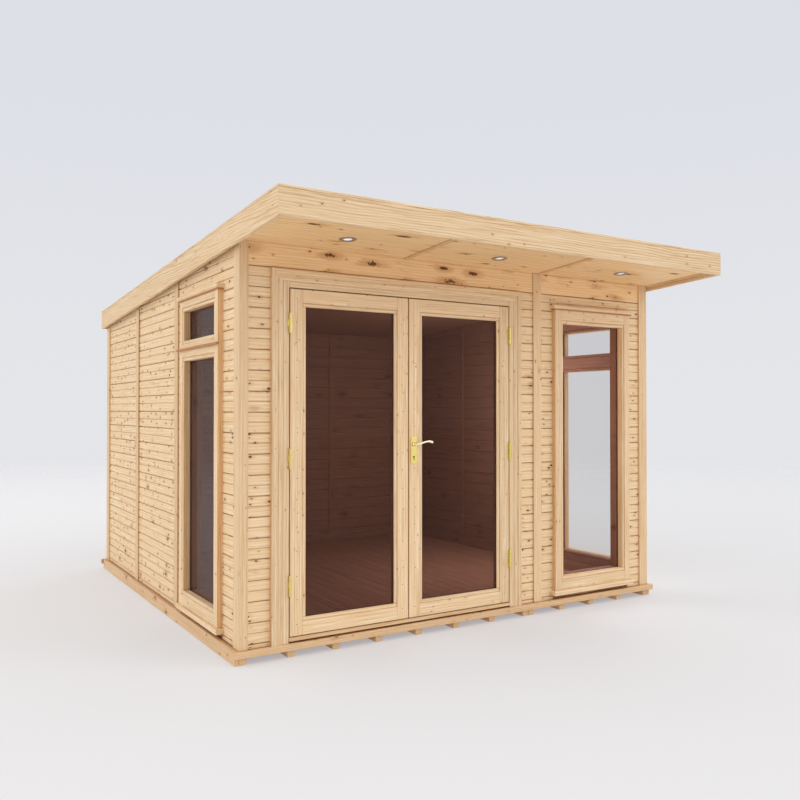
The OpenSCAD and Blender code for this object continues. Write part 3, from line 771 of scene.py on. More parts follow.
def row_tree():
    """Repeats a board in a row and gives each copy its own grain and tone."""
    tree, given, out = node_tree(
        "board_row", [("Count", "NodeSocketInt"), ("Step", "NodeSocketVector"),
                      ("Seed", "NodeSocketInt"), ("Finish", "NodeSocketMaterial")])
    add = Shading(tree)
    line = add.node("GeometryNodeMeshLine", mode="OFFSET", count_mode="TOTAL")
    add.feed(line.inputs["Count"], given["Count"])
    add.feed(line.inputs["Offset"], given["Step"])
    points = random_attribute(add, line.outputs[0], "shift", "FLOAT_VECTOR",
                              (-9.0, -0.06, -0.03), (9.0, 0.06, 0.03), given["Seed"])
    points = random_attribute(add, points, "tone", "FLOAT", 0.0, 1.0, given["Seed"])
    copies = add.node("GeometryNodeInstanceOnPoints")
    add.feed(copies.inputs["Points"], points)
    add.feed(copies.inputs["Instance"], given["Geometry"])
    real = add.node("GeometryNodeRealizeInstances")
    add.feed(real.inputs[0], copies.outputs[0])
    grain, shift = [add.node("GeometryNodeInputNamedAttribute", data_type="FLOAT_VECTOR")
                    for _ in range(2)]
    add.feed(grain.inputs["Name"], "grain")
    add.feed(shift.inputs["Name"], "shift")
    store = add.node("GeometryNodeStoreNamedAttribute", data_type="FLOAT_VECTOR", domain="CORNER")
    add.feed(store.inputs["Geometry"], real.outputs[0])
    add.feed(store.inputs["Name"], "grain")
    add.feed(store.inputs["Value"], add.vector("ADD", grain.outputs[0], shift.outputs[0]))
    set_finish(add, store.outputs[0], given, out)
    return tree


def stud_tree():
    """Puts a low domed head on every point: nails, screws and the like."""
    tree, given, out = node_tree(
        "stud_heads", [("Radius", "NodeSocketFloat"), ("Height", "NodeSocketFloat"),
                       ("Turn", "NodeSocketRotation"), ("Finish", "NodeSocketMaterial")])
    add = Shading(tree)
    ball = add.node("GeometryNodeMeshUVSphere")
    add.feed(ball.inputs["Segments"], 10)
    add.feed(ball.inputs["Rings"], 5)
    add.feed(ball.inputs["Radius"], given["Radius"])
    flat = add.node("GeometryNodeTransform")
    size = add.node("ShaderNodeCombineXYZ")
    add.feed(size.inputs[0], 1.0)
    add.feed(size.inputs[1], 1.0)
    add.feed(size.inputs[2], add.math("DIVIDE", given["Height"], given["Radius"]))
    add.feed(flat.inputs["Geometry"], ball.outputs[0])
    add.feed(flat.inputs["Scale"], size.outputs[0])
    copies = add.node("GeometryNodeInstanceOnPoints")
    add.feed(copies.inputs["Points"], given["Geometry"])
    add.feed(copies.inputs["Instance"], flat.outputs[0])
    add.feed(copies.inputs["Rotation"], given["Turn"])
    real = add.node("GeometryNodeRealizeInstances")
    add.feed(real.inputs[0], copies.outputs[0])
    set_finish(add, real.outputs[0], given, out)
    return tree


TREES = {}


def run_tree(name, mesh, values):
    """Runs a geometry node tree on a mesh and returns the plain mesh that it makes."""
    if name not in TREES:
        TREES[name] = {"board_row": row_tree, "stud_heads": stud_tree}[name]()
    tree = TREES[name]
    holder = bpy.data.objects.new("holder", mesh)
    bpy.context.scene.collection.objects.link(holder)
    modifier = holder.modifiers.new("repeat", "NODES")
    modifier.node_group = tree
    sockets = {s.name: s.identifier for s in tree.interface.items_tree
               if s.item_type == "SOCKET" and s.in_out == "INPUT"}
    for label, value in values.items():
        modifier[sockets[label]] = value
    bpy.context.view_layer.update()
    shown = holder.evaluated_get(bpy.context.evaluated_depsgraph_get())
    made = bpy.data.meshes.new_from_object(shown)
    bpy.data.objects.remove(holder)
    if not made.polygons:
        raise RuntimeError(f"the tree {name} made nothing")
    return made


def cut_plane(shape, place, outward):
    """Cuts off what lies beyond a plane and closes the cut."""
    cut = bmesh.ops.bisect_plane(
        shape, geom=shape.verts[:] + shape.edges[:] + shape.faces[:], dist=1e-6,
        plane_co=place, plane_no=outward, clear_outer=True)
    edges = [e for e in cut["geom_cut"] if isinstance(e, bmesh.types.BMEdge)]
    if edges:
        bmesh.ops.edgenet_fill(shape, edges=edges)


class BoardRows:
    """Rows of boards on one wall, ceiling or floor, gathered into one mesh."""

    def __init__(self, name, material):
        self.name = name
        self.material = material
        self.shape = bmesh.new()
        self.rows = 0

    def row(self, first, count, step, cuts=()):
        """Repeats the first board, a Timber, and cuts the row at planes (place, outward)."""
        self.rows += 1
        seed = bpy.context.scene.pod_sizes.seed * 100 + self.rows
        mesh = run_tree("board_row", first.mesh(), {
            "Count": count, "Step": step, "Seed": seed, "Finish": finish(self.material)})
        shape = bmesh.new()
        shape.from_mesh(mesh)
        for place, outward in cuts:
            cut_plane(shape, place, outward)
        part = bpy.data.meshes.new("part")
        shape.to_mesh(part)
        shape.free()
        self.shape.from_mesh(part)

    def piece(self, **more):
        """The gathered rows as a piece."""
        return make_piece(self.name, plain_mesh(self.name, self.shape), self.material, **more)


def studs(name, places, facing, radius, height, material, body="building", slot=None):
    """Small heads at places on a face that looks along facing."""
    mesh = bpy.data.meshes.new("places")
    mesh.from_pydata(places, [], [])
    turn = Vector((0, 0, 1)).rotation_difference(Vector(facing)).to_euler()
    made = run_tree("stud_heads", mesh, {
        "Radius": radius, "Height": height, "Turn": turn, "Finish": finish(material)})
    made.name = name
    return make_piece(name, made, material, body, slot=slot)


# ---- Walls: cladding outside and lining inside ----


def board_outline(thickness, pitch, chamfer, groove, gap=0.0012):
    """Outline of a board, (out, up) from the wall: chamfered edges with a gap above, and a slot
    along the middle that is two grooves wide."""
    half = pitch / 2
    top = pitch - gap
    slot = []
    if groove > 0:
        depth = thickness * 0.45
        ease = groove * 2.6
        slot = [(thickness, half - groove - ease), (thickness - ease, half - groove),
                (depth, half - groove), (depth, half + groove),
                (thickness - ease, half + groove), (thickness, half + groove + ease)]
    return [(0.0, 0.0), (thickness - chamfer, 0.0), (thickness, chamfer), *slot,
            (thickness, top - chamfer), (thickness - chamfer, top), (0.0, top)]


def wall_boards(name, along, face, outward, outline, pitch, top, spans):
    """Boards a wall face, in courses that start from top. spans holds (start, end, lowest, highest)
    of each clear stretch, where highest is a height or a slope over y."""
    rows = BoardRows(name, "cladding_pine" if name.startswith("cladding") else "lining_pine")
    for start, end, lowest, highest in spans:
        sloping = callable(highest)
        above = max(highest(start), highest(end)) if sloping else highest
        if along == "X" and sloping:
            above = highest(face)
        first = math.floor((lowest - top) / pitch)
        count = math.ceil((above - top) / pitch) - first
        base = top + first * pitch
        board = Timber("board", ease=0.0)
        shape = [(face + outward * out, base + up) for out, up in outline]
        board.board(along, shape, start, end)
        cuts = [(Vector((0, 0, lowest)), Vector((0, 0, -1)))]
        if not sloping:
            cuts.append((Vector((0, 0, highest)), Vector((0, 0, 1))))
        elif along == "X":
            cuts.append((Vector((0, face, above)), Vector((0, ROOF_SLOPE, 1)).normalized()))
        else:
            cuts.append((Vector((0, start, highest(start))), Vector((0, ROOF_SLOPE, 1)).normalized()))
        rows.row(board, count, (0.0, 0.0, pitch), cuts)
    rows.piece(slot="cladding")


def side_spans(window, y0, y1, joints):
    """Clear stretches of a side wall between its corners, panel joints and window."""
    lowest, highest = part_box(window)
    hood = high("window_hoods").z
    return [(y0, lowest.y, FLOOR_Z, deck_under), (highest.y, joints[0], FLOOR_Z, deck_under),
            (lowest.y, highest.y, hood, deck_under), (*joints, FLOOR_Z, deck_under),
            (joints[1], y1, FLOOR_Z, deck_under)]


def strip_boxes(side):
    """Boxes of the cover strips on one wall: front, back, left or right."""
    found = []
    for lowest, highest in boxes_of("wall_cover_strips"):
        middle = (lowest + highest) / 2
        place = "left" if highest.x < WALL_LEFT + 1e-3 else "right" if lowest.x > WALL_RIGHT - 1e-3 \
            else "front" if middle.y < 0 else "back"
        if place == side:
            found.append((lowest, highest))
    return sorted(found, key=lambda b: (b[0].x, b[0].y))


class POD_OT_cladding(bpy.types.Operator):
    """Boards the outside of the four walls"""

    bl_idname = "pod.cladding"
    bl_label = "Cladding"

    def execute(self, context):
        sizes = context.scene.pod_sizes
        pitch = sizes.cladding_pitch
        outline = board_outline(sizes.cladding_t, pitch, sizes.joint_chamfer, sizes.groove,
                                sizes.joint_gap)
        corners = sorted(boxes_of("front_corner_boards"), key=lambda b: b[0].x)
        corner_left = low("header_boards").x
        corner_right = high("header_boards").x
        strip = strip_boxes("front")[0]
        joint_x = (strip[0].x + strip[1].x) / 2
        frame_low, frame_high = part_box("front_window_frame")
        arch_low, arch_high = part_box("door_architrave")
        hoods = high("window_hoods").z
        wall_boards("cladding_front", "X", WALL_FRONT, -1, outline, pitch, HEADER_Z, [
            (corner_left, arch_low.x, FLOOR_Z, HEADER_Z),
            (arch_low.x, arch_high.x, arch_high.z, HEADER_Z),
            (arch_high.x, joint_x, FLOOR_Z, HEADER_Z),
            (joint_x, frame_low.x, FLOOR_Z, HEADER_Z),
            (frame_low.x, frame_high.x, hoods, HEADER_Z),
            (frame_high.x, corner_right, FLOOR_Z, HEADER_Z)])
        front_inner_y = corners[0][1].y
        back_inner_y = low("back_corner_boards").y
        for side, face, outward, window in (("left", WALL_LEFT, -1, "left_window_frame"),
                                            ("right", WALL_RIGHT, 1, "right_window_frame")):
            joints = [(a.y + b.y) / 2 for a, b in strip_boxes(side)]
            wall_boards(f"cladding_{side}", "Y", face, outward, outline, pitch, HEADER_Z,
                        side_spans(window, front_inner_y, back_inner_y, joints))
        corner_w = high("back_corner_boards").y - back_inner_y
        edges = [LEFT_X + corner_w]
        edges += [(lowest.x + highest.x) / 2 for lowest, highest in strip_boxes("back")]
        edges.append(RIGHT_X - corner_w)
        wall_boards("cladding_back", "X", WALL_BACK, 1, outline, pitch, HEADER_Z, [
            (x0, x1, FLOOR_Z, deck_under) for x0, x1 in zip(edges, edges[1:])])
        for node in ("front_wall_left", "front_wall_over_door", "front_wall_middle",
                     "front_wall_right", "left_wall_front", "left_wall_rear_panels",
                     "right_wall_front", "right_wall_rear_panels", "back_wall_panels"):
            dress(node, "slab_pine")
        return {"FINISHED"}


class POD_OT_lining(bpy.types.Operator):
    """Boards the inside of the walls, the ceiling and the floor, with strips and skirting"""

    bl_idname = "pod.lining"
    bl_label = "Lining"

    def execute(self, context):
        sizes = context.scene.pod_sizes
        pitch, thick = sizes.lining_pitch, sizes.lining_t
        outline = board_outline(thick, pitch, 0.0035, 0.0)

        def ceiling(y):
            return deck_under(y) - thick

        frame_low, frame_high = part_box("front_window_frame")
        door_low, door_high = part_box("door_frame")
        wall_boards("lining_front", "X", INNER_FRONT, 1, outline, pitch, FLOOR_Z, [
            (INNER_LEFT, door_low.x, FLOOR_Z, ceiling),
            (door_low.x, door_high.x, door_high.z, ceiling),
            (door_high.x, frame_low.x, FLOOR_Z, ceiling),
            (frame_low.x, frame_high.x, frame_high.z, ceiling),
            (frame_low.x, frame_high.x, FLOOR_Z, frame_low.z),
            (frame_high.x, INNER_RIGHT, FLOOR_Z, ceiling)])
        wall_boards("lining_back", "X", INNER_BACK, -1, outline, pitch, FLOOR_Z,
                    [(INNER_LEFT, INNER_RIGHT, FLOOR_Z, ceiling)])
        near, far = INNER_FRONT + thick, INNER_BACK - thick
        for side, face, inward, window in (("left", INNER_LEFT, 1, "left_window_frame"),
                                           ("right", INNER_RIGHT, -1, "right_window_frame")):
            lowest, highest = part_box(window)
            wall_boards(f"lining_{side}", "Y", face, inward, outline, pitch, FLOOR_Z, [
                (near, lowest.y, FLOOR_Z, ceiling), (highest.y, far, FLOOR_Z, ceiling),
                (lowest.y, highest.y, highest.z, ceiling),
                (lowest.y, highest.y, FLOOR_Z, lowest.z)])
        self.make_ceiling(pitch, thick)
        self.make_floor(pitch)
        self.make_strips(thick)
        return {"FINISHED"}

    def make_ceiling(self, pitch, thick):
        """Boards from side to side under the roof deck."""
        outline = board_outline(thick, pitch, 0.0025, 0.0)
        rows = BoardRows("ceiling_boards", "lining_pine")
        first = Timber("board", ease=0.0)
        flat = [(INNER_FRONT + up, -out) for out, up in outline]
        first.board("X", flat, INNER_LEFT, INNER_RIGHT)
        count = math.ceil((INNER_BACK - INNER_FRONT) / pitch)
        rows.row(first, count, (0.0, pitch, 0.0), [(Vector((0, INNER_BACK, 0)), Vector((0, 1, 0)))])
        for vert in rows.shape.verts:
            vert.co.z += deck_under(vert.co.y) - 0.0001
        rows.piece(slot="cladding")

    def make_floor(self, pitch):
        """Floor boards from front to back, in place of the plain floor."""
        lowest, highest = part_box("floor")
        outline = board_outline(highest.z - lowest.z, pitch, 0.0015, 0.0, 0.001)
        rows = BoardRows("floor_boards", "floor_pine")
        first = Timber("board", ease=0.0)
        flat = [(lowest.x + up, lowest.z + out) for out, up in outline]
        first.board("Y", flat, lowest.y, highest.y)
        count = math.ceil((highest.x - lowest.x) / pitch)
        rows.row(first, count, (pitch, 0.0, 0.0), [(Vector((highest.x, 0, 0)), Vector((1, 0, 0)))])
        rows.piece(replaces=("floor",), slot="floor_boards")

    def make_strips(self, thick):
        """Cover strips over the panel joints, corner strips and skirting inside."""
        trim = Timber("inner_trim")
        out = 0.008
        wide = 0.045
        foot = 0.07
        left, right = INNER_LEFT + thick, INNER_RIGHT - thick
        near, far = INNER_FRONT + thick, INNER_BACK - thick

        def upright(x0, x1, y0, y1):
            trim.board("Z", [(x0, y0), (x1, y0), (x1, y1), (x0, y1)], FLOOR_Z + foot,
                       lambda x, y: deck_under(y) - thick - 0.001)

        for lowest, highest in strip_boxes("back"):
            middle = (lowest.x + highest.x) / 2
            upright(middle - wide / 2, middle + wide / 2, far - out, far)
        for lowest, highest in strip_boxes("left"):
            middle = (lowest.y + highest.y) / 2
            upright(left, left + out, middle - wide / 2, middle + wide / 2)
            upright(right - out, right, middle - wide / 2, middle + wide / 2)
        for x0, x1 in ((left, left + out), (right - out, right)):
            trim.block((x0, near, FLOOR_Z), (x1, far, FLOOR_Z + foot))
        trim.block((left + out, far - out, FLOOR_Z), (right - out, far, FLOOR_Z + foot))
        doorway_low, doorway_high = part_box("door_frame")
        for x0, x1 in ((left + out, doorway_low.x), (doorway_high.x, right - out)):
            trim.block((x0, near, FLOOR_Z), (x1, near + out, FLOOR_Z + foot))
        trim.piece("lining_pine", slot="cladding")


# ---- Base, trim and roof edge ----


class POD_OT_base(bpy.types.Operator):
    """Bearers and rim boards of the base, with eased edges"""

    bl_idname = "pod.base"
    bl_label = "Base"

    def execute(self, context):
        for name, node in (("bearers", "floor_bearers"), ("rim_front", "front_rim_board"),
                           ("rim_back", "back_rim_board"), ("rim_sides", "side_rim_boards")):
            timber = Timber(name, ease=0.003, front="")
            timber.copy_node(node)
            timber.piece("sawn_pine", replaces=(node,), slot="base_timber")
        return {"FINISHED"}


class POD_OT_trim(bpy.types.Operator):
    """Corner boards, cover strips, header boards and soffit battens"""

    bl_idname = "pod.trim"
    bl_label = "Trim"

    def execute(self, context):
        for name, node, material, front in (
                ("corner_posts_front", "front_corner_boards", "trim_pine", ""),
                ("corner_posts_back", "back_corner_boards", "trim_pine", ""),
                ("headers", "header_boards", "header_pine", ""),
                ("battens", "soffit_battens", "trim_pine", None)):
            timber = Timber(name, front=front)
            timber.copy_node(node)
            timber.piece(material, replaces=(node,), slot="trim_timber")
        self.cover_strips(context.scene.pod_sizes.cladding_t)
        dress("soffit_panels", "soffit_pine")
        return {"FINISHED"}

    def cover_strips(self, cladding_t):
        """Strips nailed over the panel joints, on the face of the boards that run behind them."""
        timber = Timber("cover_strips")
        for shape in solids_of("wall_cover_strips"):
            middle = sum((v.co for v in shape.verts), Vector()) / len(shape.verts)
            for vert in shape.verts:
                if middle.x < WALL_LEFT:
                    vert.co.x = min(vert.co.x, WALL_LEFT - cladding_t)
                elif middle.x > WALL_RIGHT:
                    vert.co.x = max(vert.co.x, WALL_RIGHT + cladding_t)
                elif middle.y < WALL_FRONT:
                    vert.co.y = min(vert.co.y, WALL_FRONT - cladding_t)
                else:
                    vert.co.y = max(vert.co.y, WALL_BACK + cladding_t)
            timber.solid(shape, "Z")
        timber.piece("trim_pine", replaces=("wall_cover_strips",), slot="trim_timber")


class POD_OT_roof(bpy.types.Operator):
    """Fascia boards with mitred corners and a top strip, and the roof covering"""

    bl_idname = "pod.roof"
    bl_label = "Roof"

    def execute(self, context):
        strip = 0.013
        seam = 0.0006
        for side, outward in (("front", 1), ("back", -1)):
            node = f"{side}_fascia"
            lowest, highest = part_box(node)
            edge_y = lowest.y if outward > 0 else highest.y
            timber = Timber(f"fascia_{side}", ease=0.0016, front="")
            for z0, z1 in ((lowest.z, highest.z - strip - seam), (highest.z - strip, highest.z)):
                outline = [(lowest.y, z0), (highest.y, z0), (highest.y, z1), (lowest.y, z1)]
                timber.board("X", outline,
                             lambda y, z: lowest.x + abs(y - edge_y),
                             lambda y, z: highest.x - abs(y - edge_y))
            timber.piece("fascia_pine", replaces=(node,), slot="fascia_timber")
        self.side_fascias(strip, seam)
        self.covering()
        return {"FINISHED"}

    def side_fascias(self, strip, seam):
        """The two sloping fascias, mitred into the front and back ones."""
        front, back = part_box("front_fascia"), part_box("back_fascia")
        for side in ("left", "right"):
            node = f"{side}_fascia"
            lowest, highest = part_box(node)
            edge_x = lowest.x if side == "left" else highest.x
            under, top = slope_of(node, min), slope_of(node, max)
            timber = Timber(f"fascia_{side}", ease=0.0016, front="")
            for low_of, high_of in ((under, lambda y: top(y) - strip - seam),
                                    (lambda y: top(y) - strip, top)):
                rings = []
                for end, inward in ((front[0].y, 1), (back[1].y, -1)):
                    rings.append([])
                    for x, height in ((lowest.x, low_of), (highest.x, low_of),
                                      (highest.x, high_of), (lowest.x, high_of)):
                        y = end + inward * abs(x - edge_x)
                        limit = min(max(y, lowest.y), highest.y)
                        rings[-1].append((x, y, height(limit)))
                timber.solid(prism(*rings), "Y")
            timber.piece("fascia_pine", replaces=(node,), slot="fascia_timber")

    def covering(self):
        """The membrane, its lapped seams and the deck under it."""
        dress("roof_deck", "slab_pine")
        dress("roof_covering", "roof_membrane")
        lowest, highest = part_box("roof_covering")
        laps = Timber("roof_laps", ease=0.0004)
        count = 3
        wide, thick = 0.08, 0.0016
        outline = [(-wide / 2, 0.0), (wide / 2, 0.0), (wide / 2, thick), (-wide / 2, thick)]
        for i in range(1, count + 1):
            x = lowest.x + i * (highest.x - lowest.x) / (count + 1)
            rings = [[(x + aside, y, covering_top(y) + up) for aside, up in outline]
                     for y in (lowest.y, highest.y)]
            laps.solid(prism(*rings), "Y")
        laps.piece("roof_membrane", slot="roof_covering")


class POD_OT_downlights(bpy.types.Operator):
    """Downlights in the soffit: a rounded ring and a frosted lens"""

    bl_idname = "pod.downlights"
    bl_label = "Downlights"

    def execute(self, context):
        lamps = boxes_of("downlights")
        centres = [((a + b) / 2) for a, b in lamps]
        radius = (lamps[0][1].x - lamps[0][0].x) / 2
        flange = radius * 1.18
        ring = [(flange, 0.0), (flange, -0.0025), (flange - 0.0015, -0.004),
                (radius - 0.010, -0.0042), (radius - 0.013, -0.0025), (radius - 0.015, 0.004),
                (radius - 0.012, 0.006), (radius - 0.010, 0.0)]
        glass = [(0.0, -0.0005), (radius - 0.022, -0.0012), (radius - 0.0145, 0.0005),
                 (radius - 0.0145, 0.0035), (0.0, 0.0035)]
        self.turned("downlight_rings", ring, centres, "chrome", closed=True, replaces=("downlights",))
        self.turned("downlight_lenses", glass, centres, "lamp_lens", closed=False)
        return {"FINISHED"}

    def turned(self, name, outline, centres, material, closed, replaces=()):
        """An outline (radius, height) turned about each lamp's axis, square to the soffit."""
        shape = bmesh.new()
        lean = Matrix.Rotation(-math.atan(ROOF_SLOPE), 4, "X")
        for centre in centres:
            seat = Vector((centre.x, centre.y, soffit_under(centre.y)))
            place = Matrix.Translation(seat) @ lean
            lathe(shape, outline, place, closed)
        make_piece(name, plain_mesh(name, shape, smooth=True), material, replaces=replaces,
                   slot="light_ring")


def lathe(shape, outline, place, closed, segments=40):
    """Turns an outline (radius, height) about z. An open outline starts and ends on the axis."""
    rings = []
    for radius, height in outline:
        if radius < 1e-6:
            rings.append([shape.verts.new(place @ Vector((0, 0, height)))])
            continue
        rings.append([shape.verts.new(place @ Vector((
            radius * math.cos(math.tau * i / segments),
            radius * math.sin(math.tau * i / segments), height))) for i in range(segments)])
    pairs = list(zip(rings, rings[1:]))
    if closed:
        pairs.append((rings[-1], rings[0]))
    for one, two in pairs:
        for i in range(segments):
            j = (i + 1) % segments
            corners = [one[i % len(one)], one[j % len(one)], two[j % len(two)], two[i % len(two)]]
            unique = list(dict.fromkeys(corners))
            if len(unique) > 2:
                shape.faces.new(unique)


# ---- Joinery ----


def glazed_frame(name, node, glass, glass_finish, body="building", out_axis="Y", outward=-1):
    """A frame of stiles, rails and beads around its panes: bare pine outside, stained inside."""
    bead_w = bpy.context.scene.pod_sizes.bead_w
    bead_ease, bead_sink = 0.004, 0.003
    lowest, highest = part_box(node)
    panes = sorted(boxes_of(glass), key=lambda b: b[0].z)
    pane_low, pane_high = panes[0]
    out = AXES.index(out_axis)
    run = "X" if out_axis == "Y" else "Y"
    across = AXES.index(run)
    left, right = lowest[across], highest[across]
    stile = pane_low[across] - left - bead_w
    face, back = lowest[out], highest[out]
    pane_out, pane_in = pane_low[out], pane_high[out]
    if outward > 0:
        face, back, pane_out, pane_in = back, face, pane_in, pane_out
    middle = (pane_out + pane_in) / 2
    sink = bead_sink * -outward
    heights = [lowest.z]
    for pane_low, pane_high in panes:
        heights += [pane_low.z - bead_w, pane_high.z + bead_w]
    heights.append(highest.z)
    sides = ((f"{name}_outer", (face, middle), (face + sink, pane_out), "joinery_pine", (node,)),
             (f"{name}_inner", (middle, back), (pane_in, back - sink), "lining_pine", ()))
    for piece_name, depth, bead_depth, material, hides in sides:
        timber = Timber(piece_name, ease=0.0018, front=out_axis)

        def member(s0, s1, z0, z1, along, span, ease=None):
            near, far = [0, 0, z0], [0, 0, z1]
            near[across], far[across] = s0, s1
            near[out], far[out] = min(span), max(span)
            timber.block(near, far, along, ease)

        member(left, left + stile, lowest.z, highest.z, "Z", depth)
        member(right - stile, right, lowest.z, highest.z, "Z", depth)
        for z0, z1 in zip(heights[::2], heights[1::2]):
            member(left + stile, right - stile, z0, z1, run, depth)
        for pane_low, pane_high in panes:
            s0, s1 = pane_low[across] - bead_w, pane_high[across] + bead_w
            z0, z1 = pane_low.z - bead_w, pane_high.z + bead_w
            member(s0, s1, z0, z0 + bead_w, run, bead_depth, bead_ease)
            member(s0, s1, z1 - bead_w, z1, run, bead_depth, bead_ease)
            member(s0, s0 + bead_w, z0 + bead_w, z1 - bead_w, "Z", bead_depth, bead_ease)
            member(s1 - bead_w, s1, z0 + bead_w, z1 - bead_w, "Z", bead_depth, bead_ease)
        timber.piece(material, body, replaces=hides, slot="joinery")
    dress(glass, glass_finish)


class POD_OT_windows(bpy.types.Operator):
    """Window frames with beads, their glass, sills, and hoods with a set-back strip under them, coloured
    dark as painted shade
    """

    bl_idname = "pod.windows"
    bl_label = "Windows"

    def execute(self, context):
        glazed_frame("front_window", "front_window_frame", "front_window_glass", "window_glass")
        glazed_frame("left_window", "left_window_frame", "left_window_glass", "side_glass",
                     out_axis="X", outward=-1)
        glazed_frame("right_window", "right_window_frame", "right_window_glass", "window_glass",
                     out_axis="X", outward=1)
        hoods = Timber("hoods", ease=0.003, front="")
        # the set-back strips and thin drips get a dark finish as painted shade under the hoods
        drips = Timber("drips", ease=0.0008)
        thin = 0.02
        under, recess = 0.007, 0.007
        for lowest, highest in boxes_of("window_hoods"):
            if highest.z - lowest.z < thin:
                drips.block(lowest, highest)
                continue
            hoods.block((lowest.x, lowest.y, lowest.z + under), highest)
            drips.block((lowest.x + recess, lowest.y + recess, lowest.z),
                        (highest.x - recess, highest.y - recess, lowest.z + under))
        hoods.piece("joinery_pine", replaces=("window_hoods",), slot="joinery")
        drips.piece("drip_pine", slot="joinery")
        sills = Timber("sills", ease=0.003, front="")
        sills.copy_node("window_sills")
        sills.piece("joinery_pine", replaces=("window_sills",), slot="joinery")
        return {"FINISHED"}


class POD_OT_doorway(bpy.types.Operator):
    """Door frame, stops, sill and moulded architrave"""

    bl_idname = "pod.doorway"
    bl_label = "Doorway"

    def execute(self, context):
        frame_low, frame_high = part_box("door_frame")
        sill_low, sill_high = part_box("door_sill")
        leaf_low = low("left_door")
        leaf_high = high("right_door")
        left, right = sill_low.x, sill_high.x
        head = frame_high.z - (left - frame_low.x)
        y0, y1 = frame_low.y, frame_high.y
        lining = Timber("doorway_frame", front="Y")
        lining.block((frame_low.x, y0, frame_low.z), (left, y1, frame_high.z), "Z")
        lining.block((right, y0, frame_low.z), (frame_high.x, y1, frame_high.z), "Z")
        lining.block((left, y0, head), (right, y1, frame_high.z), "X")
        gap = left - leaf_low.x
        stop_y = leaf_high.y + abs(gap)
        stop_d, stop_w = 0.020, 0.016
        foot = sill_high.z
        for x0, x1 in ((left, left + stop_w), (right - stop_w, right)):
            lining.block((x0, stop_y, foot), (x1, stop_y + stop_d, head), "Z", 0.0012)
        lining.block((left + stop_w, stop_y, head - stop_w), (right - stop_w, stop_y + stop_d, head),
                     "X", 0.0012)
        lining.piece("joinery_pine", replaces=("door_frame",), slot="joinery")
        sill = Timber("threshold", ease=0.0015)
        rebate, drip = 0.012, 0.034
        nose_in, nose_down = 0.012, 0.006
        outline = [(sill_low.y + drip, sill_low.z), (sill_high.y, sill_low.z),
                   (sill_high.y, sill_high.z), (sill_low.y + nose_in, sill_high.z),
                   (sill_low.y, sill_high.z - nose_down), (sill_low.y, sill_low.z + rebate),
                   (sill_low.y + drip, sill_low.z + rebate)]
        sill.board("X", outline, left, right)
        sill.piece("joinery_pine", replaces=("door_sill",), slot="joinery")
        self.architrave(frame_low.x)
        return {"FINISHED"}

    def architrave(self, inner_left):
        """Two legs and a head of one moulding, mitred at the corners."""
        lowest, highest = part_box("door_architrave")
        wide = inner_left - lowest.x
        face, back = lowest.y, highest.y
        step = 0.004
        # moulding: (from the outer edge inwards, depth behind the face)
        moulding = [(0.0, 0.006), (0.003, 0.0015), (0.008, 0.0), (wide * 0.48, 0.0),
                    (wide * 0.50, step), (wide * 0.56, step), (wide * 0.60, step * 0.5),
                    (wide * 0.92, step * 0.5), (wide * 0.97, step), (wide, step * 1.6)]
        timber = Timber("doorway_architrave", ease=0.0, front="Y")
        for edge, inward in ((lowest.x, 1), (highest.x, -1)):
            outline = [(edge + inward * across, face + depth) for across, depth in moulding]
            outline += [(edge + inward * wide, back), (edge, back)]
            timber.board("Z", outline, lowest.z, lambda x, y, edge=edge: highest.z - abs(x - edge))
        outline = [(face + depth, highest.z - across) for across, depth in moulding]
        outline += [(back, highest.z - wide), (back, highest.z)]
        timber.board("X", outline, lambda y, z: lowest.x + highest.z - z,
                     lambda y, z: highest.x - highest.z + z)
        timber.piece("joinery_pine", replaces=("door_architrave",), slot="joinery")


class POD_OT_doors(bpy.types.Operator):
    """Door leaves of stiles, rails and beads, with their glass"""

    bl_idname = "pod.doors"
    bl_label = "Doors"

    def execute(self, context):
        for body in ("left_door", "right_door"):
            glazed_frame(f"{body}_leaf", body, f"{body}_glass", "door_glass", body)
        return {"FINISHED"}


# ---- Ironmongery ----


def sweep(shape, path, radii, sides=16):
    """A round or oval bar along a path. radii holds (across, up) at each point."""
    rings = []
    for i, place in enumerate(path):
        before, after = path[max(i - 1, 0)], path[min(i + 1, len(path) - 1)]
        ahead = (after - before).normalized()
        side = ahead.cross(Vector((0, 0, 1)))
        side = side.normalized() if side.length > 1e-4 else Vector((1, 0, 0))
        up = side.cross(ahead).normalized()
        across, rise = radii[i]
        rings.append([shape.verts.new(place + side * (across * math.cos(math.tau * k / sides))
                                      + up * (rise * math.sin(math.tau * k / sides)))
                      for k in range(sides)])
    for one, two in zip(rings, rings[1:]):
        for k in range(sides):
            m = (k + 1) % sides
            shape.faces.new((one[k], one[m], two[m], two[k]))
    shape.faces.new(list(reversed(rings[0])))
    shape.faces.new(rings[-1])


def add_box(shape, middle, size):
    """Adds a box of that size about its middle."""
    box = bmesh.ops.create_cube(shape, size=1.0)
    for vert in box["verts"]:
        vert.co = Vector([middle[i] + vert.co[i] * size[i] for i in range(3)])


